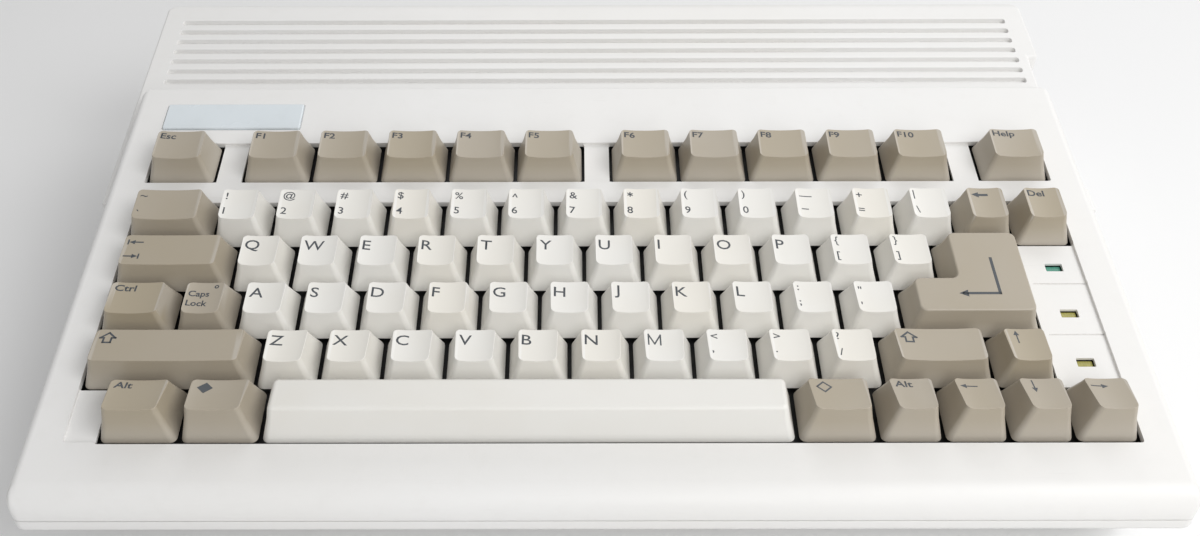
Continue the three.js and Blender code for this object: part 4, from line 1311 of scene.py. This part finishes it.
cut(
    bottom_shell,
    round_uprights(bay_hole, 0.5),
    *[add_round("cutter", (x, y, BASE), FOOT_RADIUS + 0.3, 2, 48) for x, y in FEET],
    *[add_round("cutter", (x, y, BASE), SCREW_RADIUS + 0.4, 4, 32) for x, y in BOSSES],
)


def window(side, reach, place, corner):
    """A cutter with round corners through a side wall."""
    front, back, low, high = place
    left, right = sorted((side * (reach - 6), side * (reach + 4)))
    piece = add_block("cutter", (left, front, low), (right, back, high))
    round_edges(piece, runs_along("x"), corner)
    return piece


# Its windows: the disk slot and its button on the right, the card slot on the left
cut(
    bottom_shell,
    window(1, DECK_HALF, (-92.38, 5.92, 19.2, 27.4), 1.2),
    window(1, DECK_HALF, (-12.83, 0.37, 11.2, 17.8), 0.8),
    window(-1, CASE_HALF, (16.57, 73.37, 13.7, 21.1), 1.0),
)


def connector_body(name, width, height, length, corner, slant):
    """A plug outline that faces the back, narrower at the bottom, around the origin of the face."""
    piece = add_block(name, (-width / 2, 0, -height / 2), (width / 2, length, height / 2))
    for side in (-1, 1):
        move(
            piece,
            lambda vertex: at(vertex).z < 0 and at(vertex).x * side > 0,
            (-side * slant, 0, 0),
        )
    round_edges(piece, runs_along("y"), corner, 5)
    return piece


PORT_Z = 19.65
FLANGE_Y, FLANGE_X = 110.198, 168.2
PLUG_HEIGHT, PLUG_SLANT, PLUG_GAP = 8.4, 1.481, 0.6
WIDE, MEDIUM, SMALL = 39.0, 36.2, 17.0
REAR_PLUGS = {
    "parallel_port": (-93.5, WIDE),
    "serial_port": (-35.5, WIDE),
    "external_drive_port": (21.1, MEDIUM),
    "video_port": (76.1, MEDIUM),
}
SIDE_PLUGS = {"joystick_port": 28.97, "mouse_port": 62.97}
POWER_X = -133.5
JACKS_X, JACK_PITCH = 124.1, 11.4


def to_rear(piece, x):
    piece.location = Vector((x, FLANGE_Y, PORT_Z)) * MM
    return settle(piece)


def to_side(piece, y):
    piece.location = Vector((FLANGE_X, y, PORT_Z)) * MM
    piece.rotation_euler.z = -math.pi / 2
    return settle(piece)


def port_hole(width):
    return connector_body("cutter", width + PLUG_GAP, PLUG_HEIGHT + PLUG_GAP, 8, 2.3, PLUG_SLANT)


port_holes = [to_rear(port_hole(width), x) for x, width in REAR_PLUGS.values()]
port_holes += [to_side(port_hole(SMALL), y) for y in SIDE_PLUGS.values()]
port_holes.append(to_rear(connector_body("cutter", 14.6, 11.1, 8, 2.8, 0), POWER_X))
port_holes += [
    add_round("cutter", (JACKS_X + step * JACK_PITCH, FLANGE_Y + 4, PORT_Z), 4.4, 8, 40, "Y")
    for step in (-1, 0, 1)
]
clean(cut(bottom_shell, *port_holes))


# The rims of the windows on the right and the left, and of the openings below
rims = (
    both(lambda p: near(p.x, DECK_HALF) and p.y < 8 and 10 < p.z < 28.5, 60),
    both(lambda p: near(p.x, -CASE_HALF) and 10 < p.y < 80 and 10 < p.z < 25, 60),
    both(lambda p: near(p.z, BASE) and abs(p.x) < CASE_HALF - 5 and p.y > bay_front - 1, 60),
)
round_edges(bottom_shell, lambda edge: any(rim(edge) for rim in rims), 0.4, 3)
round_edges(bottom_shell, outer(z=RIM), 0.35, 2)
stand_for(paint(smooth(bottom_shell, 30), case_plastic), "bottom_case", "case")

# -------- badge plate and lamps

BADGE_TOP = 1.15
badge = add_block(
    "badge_plate", (BADGE_LEFT, BADGE_FRONT, 0.1), (BADGE_RIGHT, BADGE_BACK, BADGE_TOP)
)
round_uprights(badge, 0.6)
round_edges(badge, level(z=BADGE_TOP), 0.4, 3)
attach(paint(smooth(tilt(badge)), badge_face), "case")

for name, y, glass, kind in (
    ("power_lamp", lamp_rows[0], green_lens, "green_lens"),
    ("floppy_lamp", lamp_rows[1], amber_lens, "amber_lens"),
    ("hard_disk_lamp", lamp_rows[2], amber_lens, "amber_lens"),
):
    lens = lamp_block(name + "_lens", y, LENS, -4.7, -1.75)
    round_edges(lens, every, 0.25, 2)
    stand_for(paint(smooth(tilt(lens)), glass), name, "case")

# -------- connectors

PIN_PITCH, PIN_ROW = 2.77, 1.42
REAR_REACH, SIDE_REACH = 8.2, 6.2
FLANGE_HALF = 6.25


def pin_places(count):
    """The places of the contacts of a plug: two rows, the upper one with one contact more."""
    upper = (count + 1) // 2
    rows = ((upper, PIN_ROW), (count - upper, -PIN_ROW))
    return [
        ((index - (number - 1) / 2) * PIN_PITCH, height)
        for number, height in rows
        for index in range(number)
    ]


def contact_pins(places, start, end, radius):
    model = add_round("pin", (0, (start + end) / 2, 0), radius, end - start, 12, "Y")
    round_edges(model, level(y=end), radius * 0.6, 2)
    return join("pins", copies(model, [(x, 0, z) for x, z in places]))


def inner_body(name, width, shrink, length, corner, start):
    """A body inside the shell of a plug, smaller by shrink, that begins at start."""
    slant = PLUG_SLANT * 0.9
    piece = connector_body(name, width - shrink, PLUG_HEIGHT - shrink, length, corner, slant)
    move(piece, every, (0, start, 0))
    return piece


def make_plug(name, width, length, count, male):
    """A metal plug shell with its black insert and its contacts, facing the back at the origin."""
    half = width / 2 + 7
    shell = connector_body(name, width, PLUG_HEIGHT, length, 2.0, PLUG_SLANT)
    plate = add_block("flange", (-half, -1, -FLANGE_HALF), (half, 0.3, FLANGE_HALF))
    round_edges(plate, runs_along("y"), 1.2, 3)
    add(shell, plate)
    cut(shell, inner_body("cavity", width, 1.1, length + 2, 1.5, 0.9))
    round_edges(shell, outer(y=length), 0.18, 2)
    depth = 1.8 if male else length - 0.9
    insert = inner_body("insert", width, 1.2, depth, 1.4, 0.95)
    places = pin_places(count)
    if male:
        pins = contact_pins(places, 1.2, length - 1.1, 0.5)
    else:
        cut(insert, contact_pins(places, depth - 2.5, depth + 2, 0.62))
        pins = contact_pins(places, depth - 3.4, depth - 1.4, 0.45)
    parts = ((shell, shell_metal), (insert, black_plastic), (pins, gold_plate))
    return join(name, [paint(smooth(part), material) for part, material in parts])


for name, (x, width) in REAR_PLUGS.items():
    male = name in ("serial_port", "video_port")
    count = 25 if width == WIDE else 23
    plug = to_rear(make_plug(name + "_plug", width, REAR_REACH, count, male), x)
    stand_for(plug, name, "case")
for name, y in SIDE_PLUGS.items():
    plug = to_side(make_plug(name + "_plug", SMALL, SIDE_REACH, 9, True), y)
    stand_for(plug, name, "case")


def standoff(length):
    """A hexagonal standoff with a threaded bore, around the origin and facing the back."""
    post = add_round("standoff", (0, length / 2, 0), 2.7, length, 6, "Y")
    round_edges(post, level(y=length), 0.35, 2)
    cut(post, add_round("cutter", (0, length, 0), 1.1, length, 16, "Y"))
    return smooth(post)


standoffs = []
for side in (-1, 1):
    for x, width in REAR_PLUGS.values():
        post = to_rear(standoff(3.4), x + side * (width / 2 + 4))
        post.location.y = (REAR_BAY_FACE - FLANGE_Y + 0.02) * MM
        standoffs.append(settle(post))
    for y in SIDE_PLUGS.values():
        post = to_side(standoff(2.4), y + side * (SMALL / 2 + 4))
        post.location.x = (BAY_FACE - FLANGE_X + 0.02) * MM
        standoffs.append(settle(post))
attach(paint(join("port_standoffs", standoffs), shell_metal), "case")

# The power socket: a round field of contacts in a black housing
SOCKET_REACH = 4.8
socket = connector_body("power_socket_body", 14, 10.5, SOCKET_REACH, 2.5, 0)
add(socket, add_block("flange", (-8.5, -9, -FLANGE_HALF), (8.5, 0.2, FLANGE_HALF)))
cut(socket, add_round("cutter", (0, SOCKET_REACH, 0), 4.4, 5.4, 40, "Y"))
round_edges(socket, outer(y=SOCKET_REACH), 0.35, 3)
ring = [(2.6 * math.sin(turn), 2.6 * math.cos(turn)) for turn in (-2.2, -1.1, 0, 1.1, 2.2)]
prongs = contact_pins(ring, 1.9, 4.1, 0.6)
parts = [paint(smooth(socket), black_plastic), paint(smooth(prongs), gold_plate)]
power = to_rear(join("power_socket_body", parts), POWER_X)
stand_for(power, "power_socket", "case")


def add_tube(name, x, y, length, outside, bore, bore_y, bore_length, rounding, bore_sides=40):
    """A ring or cup that faces the back, with its rear edges rounded."""
    tube = add_round(name, (x, y, 0), outside, length, 40, "Y")
    cut(tube, add_round("cutter", (x, bore_y, 0), bore, bore_length, bore_sides, "Y"))
    round_edges(tube, outer(y=y + length / 2), rounding, 2)
    return smooth(tube)


# The jacks: a metal sleeve around a coloured core, with a collar on the wall
jack_block = add_block("jack_block", (-18, -9, -FLANGE_HALF), (18, 0, FLANGE_HALF))
jack_parts = [paint(jack_block, black_plastic)]
SLEEVE_Y = REAR_REACH / 2
for step, color in ((-1, jack_yellow), (0, jack_white), (1, jack_red)):
    x = step * JACK_PITCH
    sleeve = add_tube("sleeve", x, SLEEVE_Y, REAR_REACH, 4.1, 3.45, SLEEVE_Y + 1, REAR_REACH, 0.18)
    core = add_tube("core", x, 4, 6, 3.35, 1.5, 6, 6, 0.3, bore_sides=24)
    wall_ring = add_tube("collar_ring", x, 3.42, 1.2, 5.3, 4.25, 3.4, 4, 0.3)
    jack_parts += [paint(sleeve, shell_metal), paint(core, color), paint(wall_ring, color)]
jacks = to_rear(join("audio_video_jack_set", jack_parts), JACKS_X)
stand_for(jacks, "audio_video_jacks", "case")

# -------- button, cover, feet and screws

button = add_block("eject_button", (150.7, -12.23, 11.8), (172.7, -0.23, 17.2))
round_edges(button, both(lambda place: place.x > 172), 0.9)
round_edges(button, lambda edge: turn_of(edge) > 60 and abs(run(edge, "x")) > 10, 0.5, 3)
RIB_PLACES = (-8.7, -7.45, -6.2, -4.95, -3.7)
cut(button, *[add_round("cutter", (172.85, y, 14.5), 0.5, 8, 12) for y in RIB_PLACES])
paint(smooth(button), pale_plastic)
stand_for(button, "floppy_eject_button", "floppy_eject_button")

HINGE_Y, HINGE_Z = -39.548, 5.25
cover_back = HINGE_Y + 1.25
cover = add_block("bay_cover", (-139.7, bay_front + 0.3, BASE), (-50.3, cover_back, FLOOR))
at_back = level(y=cover_back)
round_together(
    cover,
    6,
    (1.2, lambda edge: at_back(edge) and not upright(edge)),
    (0.6, standing(lambda place: place.y < bay_front + 1)),
    (0.3, lambda edge: not upright(edge)),
)
add(cover, add_round("pins", (-95, HINGE_Y, HINGE_Z), 0.6, 92, 16, "X"))
cut(
    cover,
    add_round("cutter", (-95, bay_front - 4, BASE), 12, 2.4, 64),
    *[
        round_uprights(add_block("cutter", (-125, y, BASE - 1), (-65, y + 1.4, BASE + 0.6)), 0.6)
        for y in (-68, -64, -60)
    ],
)
stand_for(paint(smooth(cover), case_plastic), "trapdoor_cover", "trapdoor_cover")

foot = add_round("foot", (0, 0, FOOT_HEIGHT / 2), FOOT_RADIUS, FOOT_HEIGHT, 64)
round_edges(foot, level(z=0), 1.1)
choose(
    foot, "faces", lambda face: face.normal.z < -0.9 and all(near(at(v).z, 0) for v in face.verts)
)
bpy.ops.mesh.inset(thickness=1.4 * MM)
bpy.ops.mesh.inset(thickness=0.5 * MM)
bpy.ops.mesh.extrude_region_move(TRANSFORM_OT_translate={"value": (0, 0, 0.6 * MM)})
done()
pads = copies(smooth(foot), [(x, y, 0) for x, y in FEET])
for name, pad in zip(("front_left", "front_right", "rear_left", "rear_right"), pads):
    pad.name = pad.data.name = f"foot_{name}_pad"
    stand_for(paint(pad, foot_rubber), f"foot_{name}", "case")

SCREW_LOW, SCREW_HEAD, CROSS_REACH, CROSS_HALF, CROSS_TOP = 4.45, 1.5, 1.8, 0.35, 5.3
screw = add_round("screw", (0, 0, SCREW_LOW + SCREW_HEAD / 2), SCREW_RADIUS, SCREW_HEAD, 40)
round_edges(screw, level(z=SCREW_LOW), 0.6)
for x, y in ((CROSS_REACH, CROSS_HALF), (CROSS_HALF, CROSS_REACH)):
    cut(screw, add_block("cutter", (-x, -y, 4), (x, y, CROSS_TOP)))
heads = copies(smooth(screw), [(x, y, 0) for x, y in BOSSES])
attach(paint(join("case_screws", heads), sheet_steel), "case")

# -------- finishes of the CAD nodes

for node, material in (
    ("floppy_drive", sheet_steel),
    ("shield_plate", sheet_steel),
    ("keyboard_backplate", sheet_steel),
    ("card_slot", black_plastic),
    ("keyboard_frame", black_plastic),
    ("keyboard_membrane", sheet_film),
    ("mainboard", board_green),
):
    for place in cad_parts[node].material_slots:
        place.material = material

# -------- studio

only()
bpy.ops.mesh.primitive_plane_add(size=6)
floor = named("studio_floor")
floor.data.materials.append(Finish("studio_floor", (0.86, 0.86, 0.86), 0.9).material)

# The studio looks white, but lights the object less than that
AMBIENT = 0.40
world = bpy.data.worlds.new("studio")
bpy.context.scene.world = world
world.use_nodes = True
tree = world.node_tree
rays = tree.nodes.new("ShaderNodeLightPath").outputs
seen = rays["Is Camera Ray"]
for kind in ("Is Glossy Ray", "Is Transmission Ray"):
    seen = add_node(tree, "Math", 0, {0: seen, 1: rays[kind]}, operation="MAXIMUM")
background = tree.nodes["Background"].inputs
background["Color"].default_value = (1, 1, 1, 1)
shine = add_node(tree, "MapRange", "Result", {"To Min": AMBIENT, "To Max": 1.0, "Value": seen})
feed(tree, background["Strength"], shine)

# Each light: its place and target in metres, its power in watts and its size in metres
LIGHTS = {
    "key_light": ((0.55, -0.42, 0.72), (0, 0, 0.05), 4.1, 0.5),
    "side_light": ((0.65, 0.4, 0.6), (0, 0.05, 0.05), 1.4, 0.6),
    "front_light": ((0.2, -0.8, 0.5), (0, 0, 0.05), 2.0, 0.5),
    "back_light": ((0.05, 0.55, 0.62), (0, 0.06, 0.05), 1.1, 0.5),
}
for name, (place, target, power, size) in LIGHTS.items():
    only()
    bpy.ops.object.light_add(type="AREA", location=place)
    lamp = bpy.context.active_object
    lamp.name = name
    lamp.data.energy = power
    lamp.data.size = size
    lamp.rotation_euler = (Vector(target) - Vector(place)).to_track_quat("-Z", "Y").to_euler()

bpy.context.scene.view_settings.view_transform = "Standard"
